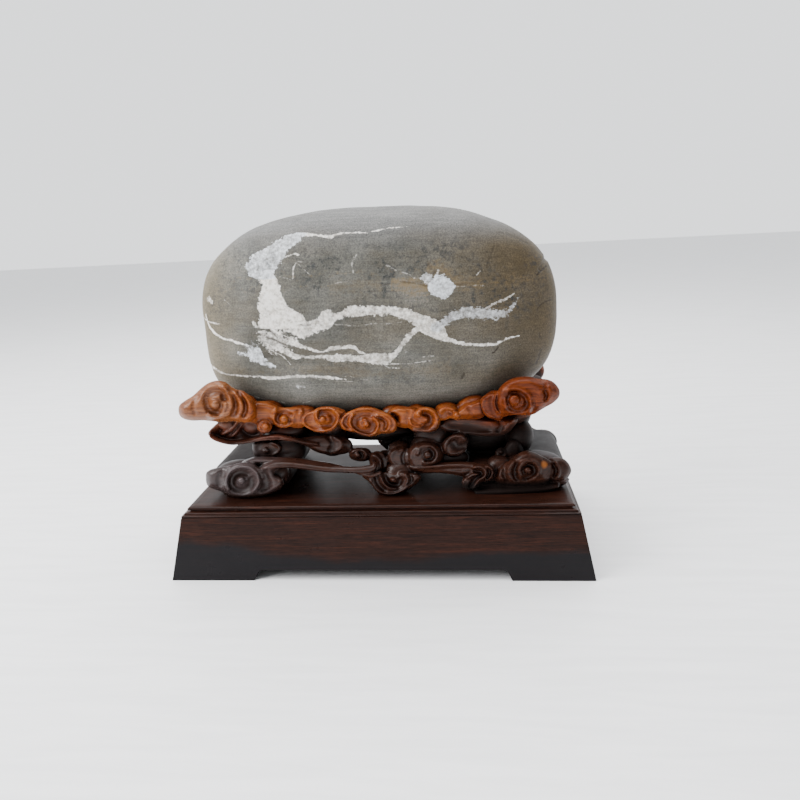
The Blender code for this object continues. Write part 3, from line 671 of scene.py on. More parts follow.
    grooves=((1.6, 1.8, (116.7, 66.3, 118.4, 62.4, 117.6, 58.1)), (1.6, 2.2, (113.5, 66.7, 113, 61.8,
    114, 56.1))))),
    # under_body
    (strand, "lower", dict(thick=10, ribs=0,
    path=(64.4, -38, 48, 3, 76.1, -39, 48.3, 5.5, 92.6, -39, 49, 6.5, 109, -38, 49.8, 6, 121.2, -36,
    51.2, 4))),
)

# Rounded lumps behind the carving: (tier, x, z, depth, half sizes, lean).
BACKING = (
    ("lower", -96, 62, 35, (18.5, 9.7, 9.7), 0), ("lower", -73, 61, 35, (10.6, 7.9, 8.8), -22),
    ("lower", -90, 55, 35, (17.6, 8.8, 7.9), 0), ("lower", 14, 61, 35, (10.6, 7.9, 8.8), 0), ("lower",
    10, 56, 34, (11.4, 8.8, 7.9), 0), ("lower", 104, 65, 30, (19.4, 8.8, 7.9), 0), ("lower", 82, 64,
    32, (8.8, 7, 7), 0), ("lower", 95, 55, 30, (26.4, 9.7, 7), 0), ("lower", 64, 56, 34, (6.2, 7, 6.2),
    0), ("middle", -68, 76, 19, (15, 10.6, 13.2), 0), ("middle", -66, 90, 21, (14.1, 10.6, 7.9), 0),
    ("middle", -103, 89, 27, (12.3, 6.2, 5.3), 12), ("middle", -104, 98, 30, (6.2, 7, 6.2), 0),
    ("middle", -86, 95, 26, (8.8, 7.9, 7.9), 0), ("middle", -33, 80, 21, (10.6, 8.8, 9.7), 0),
    ("middle", -36, 91, 23, (10.6, 7.9, 6.2), 0), ("middle", 4, 68, 28, (6.2, 6.2, 6.2), 0), ("middle",
    34, 76, 29, (12.3, 7.9, 10.6), 0), ("middle", 15, 74, 29, (8.8, 7, 7.9), 0), ("middle", 38, 88, 23,
    (13.2, 8.8, 7.9), 0), ("middle", 48, 68, 28, (13.2, 7, 7), 0), ("middle", 55, 80, 27, (7, 7, 7),
    0), ("middle", 74, 80, 5, (17.6, 10.6, 14.1), 0), ("middle", 74, 94, 17, (14.1, 8.8, 5.3), 0),
    ("middle", 95, 96, 21, (12.3, 7, 6.2), -25), ("middle", 97, 77, 19, (7, 7.9, 10.6), 0), ("upper",
    -106, 113, 36, (14.4, 6.4, 7.2), 6), ("upper", -88, 110.5, 34, (8.8, 6.4, 8), 0), ("upper", -72,
    106, 31, (9.6, 6.4, 7.2), 0), ("upper", -50, 104, 32, (11.2, 6.4, 5.6), 0), ("upper", -34, 101, 32,
    (8.8, 5.6, 7.2), 0), ("upper", -6, 100, 32, (10.4, 5.6, 8), 0), ("upper", 13, 101, 31, (9.6, 5.6,
    7.2), 0), ("upper", 28, 101, 32, (8, 5.6, 7.2), 0), ("upper", 48, 104, 32, (8, 5.6, 4.8), 0),
    ("upper", 64, 106, 31, (10.4, 6.4, 6.4), -18), ("right_wing", 93, 112, 35, (10.4, 6.4, 8), 0),
    ("right_wing", 100, 115, 35, (12, 6.4, 7.2), -8), ("right_wing", 79, 110, 34, (7.2, 6.4, 6.4),
    -25), ("middle", -44, 82, 17, (10.6, 7, 7.9), 0), ("middle", -60, 86, 19, (10.6, 7, 7.9), 0),
)
# Cloud pillars between the slabs and the tray: (x, z, depth, half sizes).
PILLARS = (
    (-4, 84, 0, (38, 23, 9)), (-68, 76, 21, (16, 13, 14)), (-66, 90, 22, (15, 13, 9)), (-33, 80, 22,
    (11, 10, 11)), (-36, 91, 23, (11, 8, 7)), (38, 84, 24, (14, 10, 12)), (74, 80, 10, (22, 12, 15)),
    (74, 94, 16, (17, 9, 6)), (97, 80, 19, (9, 10, 12)), (-97, 98, 9, (10, 12, 6)), (-107, 102, 25, (9,
    9, 6)), (101, 104, 9, (9, 12, 5)), (109, 107, 24, (8, 9, 5)), (-90, 88, 10, (9, 11, 7)), (96, 92,
    10, (9, 11, 7)),
)
# How many triangles each tier keeps, and the remesh voxels in millimetres.
TRIANGLES = {"upper": 150000, "middle": 70000, "lower": 110000, "right_wing": 50000}
CORE_TRIANGLES = 90000
CORE_VOXEL, CARVING_VOXEL = 0.9, 0.5
TRAY_WALL, TRAY_TOP = 5.0, 103.5
SLAB_BOTTOM, SLAB_TOP, SLAB_DEPTH, SLAB_CORNER = 50.0, 67.0, 78.0, 13.0
SLAB_ENDS = ((-119, -62), (58, 127))
# On the back the right wing lies lower, and the lower right end is flatter from LOW_END_START on.
BACK_WING_DROP, BACK_LOW_END = 4.0, 0.74
LOW_END_START, LOW_END_RUN = 66, 24


def triangles_of(item):
    """The item with its modifiers applied, and how many triangles it has."""
    shown = item.evaluated_get(bpy.context.evaluated_depsgraph_get())
    return shown, sum(len(face.vertices) - 2 for face in shown.data.polygons)


def fuse(name, store, voxel, triangles):
    """One closed skin over all the forms in a store."""
    item = mesh_object("forms", np.vstack(store.places) * MM, store.faces)
    remesh = item.modifiers.new("fuse", "REMESH")
    remesh.mode = "VOXEL"
    remesh.voxel_size = voxel * MM
    soften = item.modifiers.new("soften", "SMOOTH")
    soften.factor = 0.5
    soften.iterations = 4
    thin = item.modifiers.new("thin", "DECIMATE")
    thin.ratio = min(1, triangles / triangles_of(item)[1])
    mesh = bpy.data.meshes.new_from_object(triangles_of(item)[0])
    bpy.data.objects.remove(item)
    mesh.name = name
    mesh.shade_smooth()
    return add_object(name, mesh)


def mirrored(name, front, drop, low_end):
    """The same carving on the back, lowered by a drop, its right end flattened to a share of its height."""
    mesh = front.data.copy()
    mesh.name = name
    places = np.empty(len(mesh.vertices) * 3, np.float32)
    mesh.vertices.foreach_get("co", places)
    places = places.reshape(-1, 3) / MM
    share = np.clip((places[:, 0] - LOW_END_START) / LOW_END_RUN, 0, 1)
    above = places[:, 2] - SLAB_BOTTOM
    places[:, 2] += above * (low_end - 1) * share - drop
    places[:, 1] *= -1
    mesh.vertices.foreach_set("co", (places * MM).ravel())
    mesh.flip_normals()
    return add_object(name, mesh)


# ---------------------------------------------------------------- stone

STONE_CENTRE = np.array((1, 1, 163))
STONE_HALF_LENGTH, STONE_HALF_DEPTH = 122, 44
STONE_RISE, STONE_DROP = 73, 70
STONE_SQUARENESS = {(True, True): 2.5, (True, False): 2.65, (False, False): 3.6, (False, True): 2.7}
STONE_SECTION = 2.6


def stone_places(directions, spread=0):
    """The stone's surface, in millimetres, where a unit sphere has these directions."""
    x, y, z = directions.T
    bend = np.zeros(len(x))
    for (upper, right), squareness in STONE_SQUARENESS.items():
        bend[((z > 0) == upper) & ((x > 0) == right)] = 2 / squareness
    flat = np.hypot(x, z)
    reach = flat ** (2 / STONE_SECTION)
    across, up = x / np.maximum(flat, 1e-9), z / np.maximum(flat, 1e-9)
    rise = np.where(z > 0, STONE_RISE, STONE_DROP) + spread
    made = np.column_stack([
        (STONE_HALF_LENGTH + spread) * np.sign(across) * abs(across) ** bend * reach,
        (STONE_HALF_DEPTH + spread) * np.sign(y) * abs(y) ** (2 / STONE_SECTION),
        rise * np.sign(up) * abs(up) ** bend * reach,
    ])
    return made + STONE_CENTRE


def cube_sphere(cuts):
    """Unit directions and quads of a cube whose sides are cut into squares and blown up to a ball."""
    bm = bmesh.new()
    bmesh.ops.create_cube(bm, size=2)
    bmesh.ops.subdivide_edges(bm, edges=bm.edges, cuts=cuts, use_grid_fill=True)
    places = np.array([vert.co for vert in bm.verts])
    faces = [tuple(vert.index for vert in face.verts) for face in bm.faces]
    bm.free()
    places = np.tan(places * math.pi / 4 * 0.999)
    return places / np.linalg.norm(places, axis=1)[:, None], faces


# ---------------------------------------------------------------- materials

# Veins of the stone: (axis it runs along, strength, softness and raggedness of its edge, coolness, and
# a run of its place along that axis, its middle and its half width).
VEINS = (
    # top_line
    ("x", 0.85, 0.6, 0.5, 0, (-40.8, 220.7, 1.26, -34.2, 220.4, 1.02, -29, 219.7, 0.78, -24.5, 219,
    0.95, -21.2, 218.1, 1.13, -18.1, 219.4, 0.66, -11.7, 220.4, 0.54, -5.4, 220.2, 0.53, 0.9, 219.9,
    0.42, 7.2, 220.5, 0.41, 13.4, 221.5, 0.38, 18.4, 222, 0.36, 22.7, 222.1, 0.27, 27.1, 222.1, 0.21)),
    # top_line_end
    ("x", 0.5, 0.6, 0.5, 0, (12.8, 220.6, 0.3, 16.5, 221.2, 0.3, 20.9, 221.5, 0.24)),
    # sweep
    ("z", 0.72, 1.4, 2.4, 0.6, (195.1, -63.8, 6.67, 196.7, -66.9, 8.12, 199.1, -67, 9.7, 201.6, -66.8,
    10.93, 204, -65.5, 11.78, 206.3, -63.5, 12.43, 208.7, -61.4, 12.39, 211.1, -59.7, 10.64, 212.8,
    -56.6, 9.55, 215, -51.6, 9.11, 217.8, -48, 8.07, 220.1, -44.5, 7.03, 221.5, -41.9, 4.34)),
    # column
    ("z", 0.98, 0.7, 1.4, 0, (163.6, -55.4, 13.89, 165.5, -55.6, 16.26, 168.1, -55.1, 15.71, 170.7,
    -55.4, 15.18, 173.3, -57.1, 13.18, 175.9, -59.5, 11.2, 178.4, -60.6, 9.85, 181.6, -61.4, 8.67,
    184.8, -61.3, 7.47, 187.9, -61.2, 6.28, 191, -61, 5.93, 194.1, -62.1, 5.95, 196.6, -63.2, 5.12,
    199.6, -61.7, 4.43)),
    # foot
    ("x", 0.78, 0.9, 1.5, 0.1, (-68.7, 169.3, 4.84, -63.1, 169.6, 4.5, -57.7, 168.5, 5.46, -53.8,
    167.6, 6.25, -49.9, 166.4, 6.73, -46, 164.7, 7.06, -42.8, 163.7, 7.06, -39.6, 162.3, 5.46, -36.2,
    163.3, 4.64, -32.9, 164.5, 4.63, -29.4, 166.6, 5.88, -26, 168.1, 6.49, -22.7, 169.1, 5.37, -20.1,
    169.5, 2.68, -16.8, 170.4, 2.36, -12.9, 171.9, 3.13, -8.4, 172.9, 3.59, -3.9, 173, 3.59, 1.1,
    172.8, 2.96, 6.2, 172.4, 3.11, 12.5, 172.2, 2.8, 18.7, 171.3, 3.42, 23.6, 170.1, 4.05, 27.9, 167.8,
    4.37, 32.1, 164.9, 4.86, 36.4, 162.7, 5.66, 40.1, 161.2, 5.67, 43.8, 159.5, 5.69, 46.8, 157.9,
    5.54, 49.2, 154.8, 3.19)),
    # right_up
    ("x", 0.66, 1.5, 2, 0.5, (40.7, 160.3, 2.52, 44.5, 161.2, 3.31, 47.6, 162.9, 3.3, 50.8, 165.4,
    3.44, 54.6, 167.4, 3.43, 58.4, 168.4, 3.73, 63.3, 168.6, 3.89, 68.3, 167.8, 3.74, 73.9, 167, 3.28,
    78.8, 166.3, 2.97, 83.9, 166, 2.67, 87.6, 167.1, 2.19, 90.2, 169.2, 2.03, 92.8, 172.4, 1.71, 94.7,
    174.9, 1.24, 96.6, 177, 0.46)),
    # tip
    ("x", 0.7, 0.6, 0.7, 0.3, (73.3, 170, 0.62, 77.1, 171.9, 0.93, 80.8, 173.5, 0.93, 84.6, 174.5, 0.8,
    88.4, 176.1, 0.8, 90.9, 177.4, 0.68, 92.8, 178.6, 0.37)),
    # right_down
    ("x", 0.85, 0.7, 0.8, 0.1, (33.2, 160.5, 2.05, 38.1, 158, 2.69, 43, 155.6, 2.7, 47.3, 153.6, 2.24,
    51.6, 151.8, 1.6, 56.6, 149.9, 1.29, 61.6, 148.6, 1.1, 67.9, 148.2, 0.97, 74.2, 147.2, 0.98, 79.2,
    147.4, 0.98, 83.7, 148.6, 0.78, 87.5, 150.2, 0.58, 91.4, 151, 0.52, 95.2, 151.5, 0.32)),
    # left_down
    ("x", 0.72, 0.9, 1.1, 0.2, (-68.5, 152.6, 1.33, -63.8, 151, 1.66, -59.8, 149.9, 1.99, -55.8, 148.4,
    2.16, -52, 146, 2.5, -47.4, 144.6, 1.5, -42.1, 144.4, 1, -35.4, 144.2, 1.2, -28.9, 143.8, 1.23,
    -23.7, 142.9, 2.67, -19.1, 142.9, 2.5, -13.9, 142.8, 2.17, -8.7, 142.6, 2.16, -3.6, 142.3, 3, 1.6,
    141.9, 3.5, 6.1, 141.6, 4, 10.6, 141.4, 3.99, 14.5, 142.6, 2.98, 17.2, 145, 2.46, 19.9, 148.2,
    2.76, 22, 151.2, 2.58, 24.7, 154.1, 2.72, 27.4, 156.9, 2.39, 30, 159, 2.37, 32.5, 160.2, 1.74,
    35.7, 160, 1.42)),
    # second
    ("x", 0.78, 0.7, 0.8, 0.3, (-51, 155.1, 2.61, -47.2, 152.9, 2.45, -42.7, 151, 1.31, -38.2, 149.7,
    1.18, -34.4, 147.9, 0.99, -30.5, 147.6, 0.66, -26.4, 148.7, 1.25, -21.7, 149.8, 1.37, -17.2, 149.8,
    1.18, -12, 150.3, 1.43, -8.8, 149.3, 1.63, -5.8, 146.7, 1.31, -2.7, 144.9, 0.99)),
    # tangle
    ("x", 0.66, 1.2, 5.5, 0.2, (-73.7, 156.6, 1.32, -70.8, 156.9, 4.28, -66.7, 155.9, 6.58, -61.9,
    155.9, 7.22, -57.1, 155.3, 6.06, -53.1, 155.1, 4.58, -49.1, 154.6, 3.1, -46.5, 153.4, 1.63)),
    # strand_a
    ("x", 0.85, 0.7, 0.8, 0.1, (-65, 165.1, 0.84, -61.2, 161.8, 0.85, -56.7, 159.1, 0.85, -52.2, 157.1,
    0.85, -48.5, 153.8, 0.85)),
    # strand_b
    ("x", 0.8, 0.7, 0.8, 0.1, (-69.7, 154.6, 0.93, -65.1, 152, 0.93, -59.9, 149.3, 0.93, -54.7, 146.6,
    0.93, -49.5, 144.2, 0.94)),
    # strand_c
    ("x", 0.75, 0.6, 0.5, 0.3, (-62.2, 147, 0.5, -58.2, 145.6, 0.5, -55.1, 142.6, 0.51, -52.2, 138.8,
    0.51)),
    # wispy_left
    ("x", 0.7, 1, 2, 0.2, (-75.9, 167.6, 0.49, -73.4, 164.7, 2.12, -71.4, 163.8, 1.31, -68.6, 163.8,
    1.3)),
    # blue_patch
    ("x", 0.78, 1.6, 1.8, 1, (-89.1, 146.4, 0.89, -83.8, 146.5, 1.36, -80.1, 146.3, 4.24, -76.5, 146.2,
    5.75, -73, 145.2, 6.09, -70, 140.9, 2.73, -66.7, 139, 2.23, -63.4, 137.8, 1.03)),
    # blue_haze
    ("x", 0.45, 2, 3, 1, (-83.7, 152.2, 1.68, -79.5, 150.7, 2.85, -74.8, 148.3, 4.37, -71.6, 145.3,
    4.05)),
    # left_thin
    ("x", 0.85, 0.6, 0.6, 0.2, (-113, 172.3, 1.71, -111.7, 165, 1.74, -109.2, 162, 1.21, -105.9, 159.4,
    1.03, -101.9, 157.3, 0.96, -97.1, 155.8, 0.88, -92.5, 155.3, 0.95, -88.8, 153.7, 1.08, -85.1,
    153.2, 0.74, -80.8, 152.1, 0.84)),
    # left_short
    ("x", 0.75, 0.6, 0.5, 0.2, (-115.8, 168.2, 0.64, -110.3, 166.8, 0.62, -105.6, 166.2, 0.61, -101.3,
    166, 0.61)),
    # left_low
    ("x", 0.5, 1, 0.5, 0.2, (-92.1, 146.9, 0.41, -88.4, 146, 0.41, -82.3, 146.8, 0.41)),
    # left_blot
    ("x", 0.6, 1, 1.5, 0.1, (-110, 181.5, 1.97, -107.1, 181.3, 2.29, -105.3, 180.7, 0.98)),
    # left_dash
    ("x", 0.55, 0.6, 0.5, 0.2, (-95.1, 182, 0.42, -92.2, 180.1, 0.42, -90.1, 177.8, 0.42)),
    # bottom_thin
    ("x", 0.72, 0.7, 0.8, 0.2, (-120.4, 138.9, 1.02, -118.6, 135.7, 0.96, -112.5, 134.2, 1.15, -107.7,
    132.5, 1.17, -101.6, 131.4, 0.75, -94.9, 131.2, 0.81, -87, 131.3, 0.73, -79.5, 131.1, 0.79, -73,
    130.6, 1.15, -66.7, 130.1, 1.29, -59.6, 130.4, 1.07, -52.6, 130.9, 1.2, -45.7, 131.1, 1.06, -39,
    130.9, 0.99, -32.4, 130.3, 1.06, -25.8, 129.3, 1.13, -20.6, 128.7, 0.78, -16.7, 128, 0.36)),
    # bottom_fork
    ("x", 0.5, 0.6, 0.5, 0.2, (-40.4, 130.7, 0.39, -35.2, 128.8, 0.39, -27.4, 127.6, 0.39, -18.2,
    126.9, 0.39, -11.6, 126.5, 0.39)),
    # bottom_tail
    ("x", 0.42, 0.6, 0.5, 0.2, (-21.8, 129.5, 0.39, -16.4, 130.4, 0.39, -10, 129, 0.39, -3, 127.2,
    0.39)),
    # thin_loop
    ("x", 0.62, 0.6, 0.5, 0.2, (10.3, 137.8, 0.51, 14.8, 138.2, 0.5, 20.6, 137.7, 0.5, 27, 138, 0.5,
    32.8, 138.6, 0.5, 38.5, 139, 0.5)),
    # thin_low
    ("x", 0.6, 0.6, 0.5, 0.2, (6.6, 140.3, 0.47, 9.6, 137.1, 0.47, 13.4, 135.4, 0.48, 18.5, 135.1,
    0.48)),
    # thin_far
    ("x", 0.5, 0.6, 0.5, 0.2, (34.2, 141.9, 0.43, 38.7, 142.3, 0.43, 41.2, 141.9, 0.43)),
    # under_thread
    ("x", 0.34, 0.6, 0.5, 0.2, (-51.7, 137.1, 0.34, -44.8, 138.1, 0.34, -38, 138.6, 0.34, -30.1, 138.6,
    0.34, -19.6, 137.6, 0.34, -9.2, 137.3, 0.34, 1.2, 136.7, 0.34)),
    # mid_thread
    ("x", 0.5, 0.7, 0.5, 0.2, (-21.1, 164.9, 0.51, -14.7, 164.4, 0.51, -8.4, 163.6, 0.51, -2, 163.9,
    0.51, 4.4, 164.6, 0.51, 10.7, 164.1, 0.5, 17, 164.3, 0.5, 22.1, 165, 0.5)),
    # hook
    ("x", 0.8, 0.6, 0.5, 0.2, (-50.4, 208, 0.6, -47, 208.8, 0.6, -44.4, 209.5, 0.6, -41.8, 208.7,
    0.6)),
    # drop
    ("z", 0.62, 0.6, 0.5, 0.2, (193, -46.9, 0.56, 194.8, -45.5, 0.56, 198.5, -45.3, 0.56, 201.5, -44.5,
    0.56, 203.8, -43.2, 0.56)),
    # fan_one
    ("x", 0.5, 0.6, 0.5, 0.2, (-43.2, 204.4, 0.33, -40, 201.3, 0.33, -36.2, 197.8, 0.33, -34.4, 196.2,
    0.33)),
    # fan_two
    ("x", 0.5, 0.6, 0.5, 0.2, (-57.4, 197, 0.37, -53.4, 195.7, 0.37, -48.8, 194.3, 0.37, -45.6, 193.3,
    0.37)),
    # fan_three
    ("x", 0.42, 0.6, 0.5, 0.2, (-45.1, 203.9, 0.33, -41.8, 204.6, 0.33, -38.6, 203.9, 0.33)),
    # fleck_a
    ("z", 0.55, 0.6, 0.5, 0.2, (196.3, -7.2, 0.5, 201.1, -7.4, 0.5, 204.7, -7.1, 0.5)),
    # fleck_b
    ("x", 0.5, 1, 1.6, 0.2, (-6.7, 204.9, 0.89, -4.8, 206, 0.89)),
    # fleck_c
    ("x", 0.42, 0.6, 0.5, 0.2, (-18.7, 190.6, 0.4, -13.5, 191.2, 0.39, -7.9, 191.4, 0.39)),
    # fleck_d
    ("x", 0.4, 0.6, 0.5, 0.2, (-33.6, 187.3, 0.4, -28.4, 187.2, 0.4)),
    # fleck_e
    ("x", 0.62, 1, 0.8, 0.2, (69.4, 191.3, 0.66, 71.3, 193.3, 0.66)),
    # fleck_f
    ("x", 0.62, 1.2, 1, 0.7, (-51, 123.6, 1.11, -48.2, 123.7, 1.11, -45.5, 123.4, 1.11)),
    # base_line
    ("x", 0.5, 0.6, 0.5, 0.2, (-82.9, 116.1, 0.54, -77.5, 113.9, 0.55, -70.4, 112.5, 0.55, -59.4,
    110.5, 0.56)),
    # base_dash
    ("x", 0.5, 1, 0.5, 0.2, (-48.6, 111, 0.59, -42.1, 112.3, 0.58)),
    # fleck_g
    ("x", 0.35, 1, 1, 0.2, (0.4, 180.7, 0.61, 2.9, 181.3, 0.61)),
    # spot
    ("x", 0.88, 0.9, 1.8, 0.45, (39.4, 184.6, 1.06, 40.4, 185.7, 3.63, 42.2, 185.6, 4.83, 44.7, 185.7,
    6.94, 47.2, 185.6, 7.25, 50.2, 185.3, 6.49, 52.7, 184.9, 4.98, 54.5, 184.8, 2.57, 55.7, 184.9,
    0.91)),
    # spot_lump
    ("x", 0.66, 1.2, 2.2, 0.9, (34.5, 191.4, 0.6, 36.3, 191.4, 2.55, 38.7, 191, 3.45, 41.2, 189.7,
    3.45)),
    # spot_top
    ("z", 0.6, 0.9, 1, 0.2, (191.4, 46.1, 0.67, 193.8, 45.8, 0.67, 196.2, 45.7, 0.67)),
    # spot_tail
    ("x", 0.55, 0.6, 0.5, 0.2, (13.8, 199.8, 0.65, 16.8, 198.6, 0.66, 19.8, 196.5, 0.66)),
    # spot_tail_b
    ("x", 0.5, 0.9, 0.8, 0.2, (23.5, 195.3, 0.6, 27.8, 193.7, 0.6, 31.4, 191.5, 0.6, 35.7, 191.3,
    0.6)),
    # spot_right
    ("x", 0.42, 0.8, 0.5, 0.2, (55.8, 185.1, 0.45, 61.3, 184.9, 0.45, 67.4, 185, 0.45, 73.6, 184.5,
    0.45, 76, 183.6, 0.45)),
)
# Cracks and chips, in the same form.
CRACKS = (
    # notch
    ("x", 0.9, 0.7, 0.9, 0.2, (107.3, 188.4, 0.66, 110.1, 190.5, 0.66, 113.1, 192.8, 0.65, 114.9, 194,
    0.62)),
    # side
    ("x", 0.55, 0.7, 0.9, 0.2, (107, 167.4, 0.63, 110.4, 170.1, 0.63, 113.9, 171.5, 0.63, 117.5, 172.1,
    0.63)),
    # low_side
    ("z", 0.55, 0.7, 0.9, 0.2, (130.4, 107.1, 0.79, 135.2, 108.6, 0.79, 139.9, 110.1, 0.78)),
    # chip
    ("x", 0.9, 0.7, 0.9, 0.2, (78.5, 141.8, 0.8, 80.5, 143.3, 0.79, 81.7, 145.5, 0.79)),
    # chip_low
    ("z", 0.8, 0.7, 0.9, 0.2, (125.5, 58.4, 0.71, 127.6, 59.1, 0.7, 129.6, 59.8, 0.7)),
    # shoulder
    ("x", 0.42, 0.7, 0.9, 0.2, (82.7, 215.6, 0.53, 87.1, 214.7, 0.53, 92.2, 212.9, 0.53, 97.9, 210.1,
    0.52, 103.7, 206.6, 0.52)),
    # arc_a
    ("z", 0.35, 0.7, 0.9, 0.2, (195.1, 75.4, 0.46, 199.8, 77, 0.46, 204.4, 79, 0.46, 207.8, 80.4,
    0.47)),
    # arc_b
    ("x", 0.5, 0.7, 0.9, 0.2, (22.1, 189.8, 0.48, 28.2, 188.9, 0.48, 34.3, 187.5, 0.48, 39.2, 186.3,
    0.48)),
    # arc_c
    ("x", 0.3, 0.7, 0.9, 0.2, (55.8, 186.1, 0.42, 62.5, 186.5, 0.42, 69.9, 186.2, 0.42)),
    # tangle_dark
    ("x", 0.75, 0.7, 0.9, 0.2, (-67.2, 157.6, 0.72, -62.5, 156.2, 0.72, -58, 153.9, 0.72, -52.8, 151.5,
    0.72)),
    # tangle_dark_b
    ("x", 0.6, 0.7, 0.9, 0.2, (-65.3, 162.5, 0.78, -62.1, 160.2, 0.78, -59.7, 157.2, 0.78)),
    # foot_dark
    ("x", 0.6, 0.7, 0.9, 0.2, (-43.3, 165.6, 0.7, -40, 164.8, 0.7, -36.7, 165.1, 0.7)),
    # tiny
    ("z", 0.6, 0.7, 0.9, 0.2, (148.9, 109.2, 0.55, 151.7, 108.5, 0.55)),
    # tangle_hole
    ("x", 0.45, 0.7, 0.9, 0.2, (-70.1, 145.6, 1.68, -67.2, 146, 1.68, -64.5, 145, 1.68)),
)
# Ochre stains, in the same form.
STAINS = (
    # gold_left
    ("x", 0.55, 6, 7, 0, (17.1, 189.2, 2.41, 23.2, 188.3, 3.62, 29.4, 187.4, 3.62, 35.5, 186.2, 3.32,
    39.2, 186, 2.72)),
    # gold_over
    ("x", 0.36, 6, 7, 0, (39.5, 195.9, 2.38, 45.7, 196.8, 2.38, 51.7, 193.5, 2.98, 56.5, 189, 2.4,
    62.6, 186.9, 1.81, 71.1, 185.5, 2.11)),
    # gold_mid
    ("x", 0.18, 6, 7, 0, (-22, 187.2, 1.83, -9.3, 188.5, 2.43, 0.9, 189.9, 3.03, 9.5, 188.3, 3.03)),
    # gold_low
    ("x", 0.15, 6, 7, 0, (-46.6, 134.9, 2.07, -20, 134, 2.42, 6, 132.1, 2.08, 31.8, 132.9, 2.4, 51.1,
    135, 2.72)),
)
NICK = ((122.0, 200.5), (116.0, 197.5), (110.0, 192.0))
# The stretch of the stone that the bands' curves cover, in millimetres.
X_RANGE = (-125.0, 125.0)
Z_RANGE = (90.0, 240.0)
# Half widths: a curve's limits, and the value that closes a band just past its ends.
LEAST_WIDTH, MOST_WIDTH, NO_WIDTH = -5.0, 20.0, -4.0
END_GAP = 0.006


def curve_of(s, value, points, low, high):
    """A float curve through the points, whose heights run from low to high."""
    made = s.tree.nodes.new("ShaderNodeFloatCurve")
    curve = made.mapping.curves[0]
    while len(curve.points) < len(points):
        curve.points.new(0.5, 0.5)
    for point, (place, height) in zip(curve.points, points):
        point.location = (place, (height - low) / (high - low))
        point.handle_type = "AUTO_CLAMPED"
    made.mapping.extend = "HORIZONTAL"
    made.mapping.update()
    s.put(made, "Value", value)
    return made.outputs[0]


def band_mask(s, shares, break_up, band):
    """How far a band covers each place: its strength inside it, and 0 outside."""
    axis, strength, soft, rag, _, numbers = band
    points = np.reshape(numbers, (-1, 3)).tolist()
    run, height = (X_RANGE, Z_RANGE) if axis == "x" else (Z_RANGE, X_RANGE)
    along, across = shares if axis == "x" else reversed(shares)
    middles = [((place - run[0]) / (run[1] - run[0]), middle) for place, middle, _ in points]
    halves = [(share, point[2]) for (share, _), point in zip(middles, points)]
    first, last = halves[0][0] - END_GAP, halves[-1][0] + END_GAP
    middle = curve_of(s, along, middles, *height)
    width = curve_of(s, along, [(first, NO_WIDTH), *halves, (last, NO_WIDTH)], LEAST_WIDTH, MOST_WIDTH)
    gap = s.size(s.minus(across, middle))
    half = s.math("MULTIPLY_ADD", width, MOST_WIDTH - LEAST_WIDTH, LEAST_WIDTH)
    left = s.math("MULTIPLY_ADD", gap, height[0] - height[1], half)
    left = s.math("MULTIPLY_ADD", break_up[axis], 4.6 * rag, left)
    return s.spread(left, -soft * 0.5, soft * 0.6, 0.0, strength)


def joined(s, shares, break_up, bands):
    """The strongest of several bands at each place."""
    return s.largest(*[band_mask(s, shares, break_up, band) for band in bands])


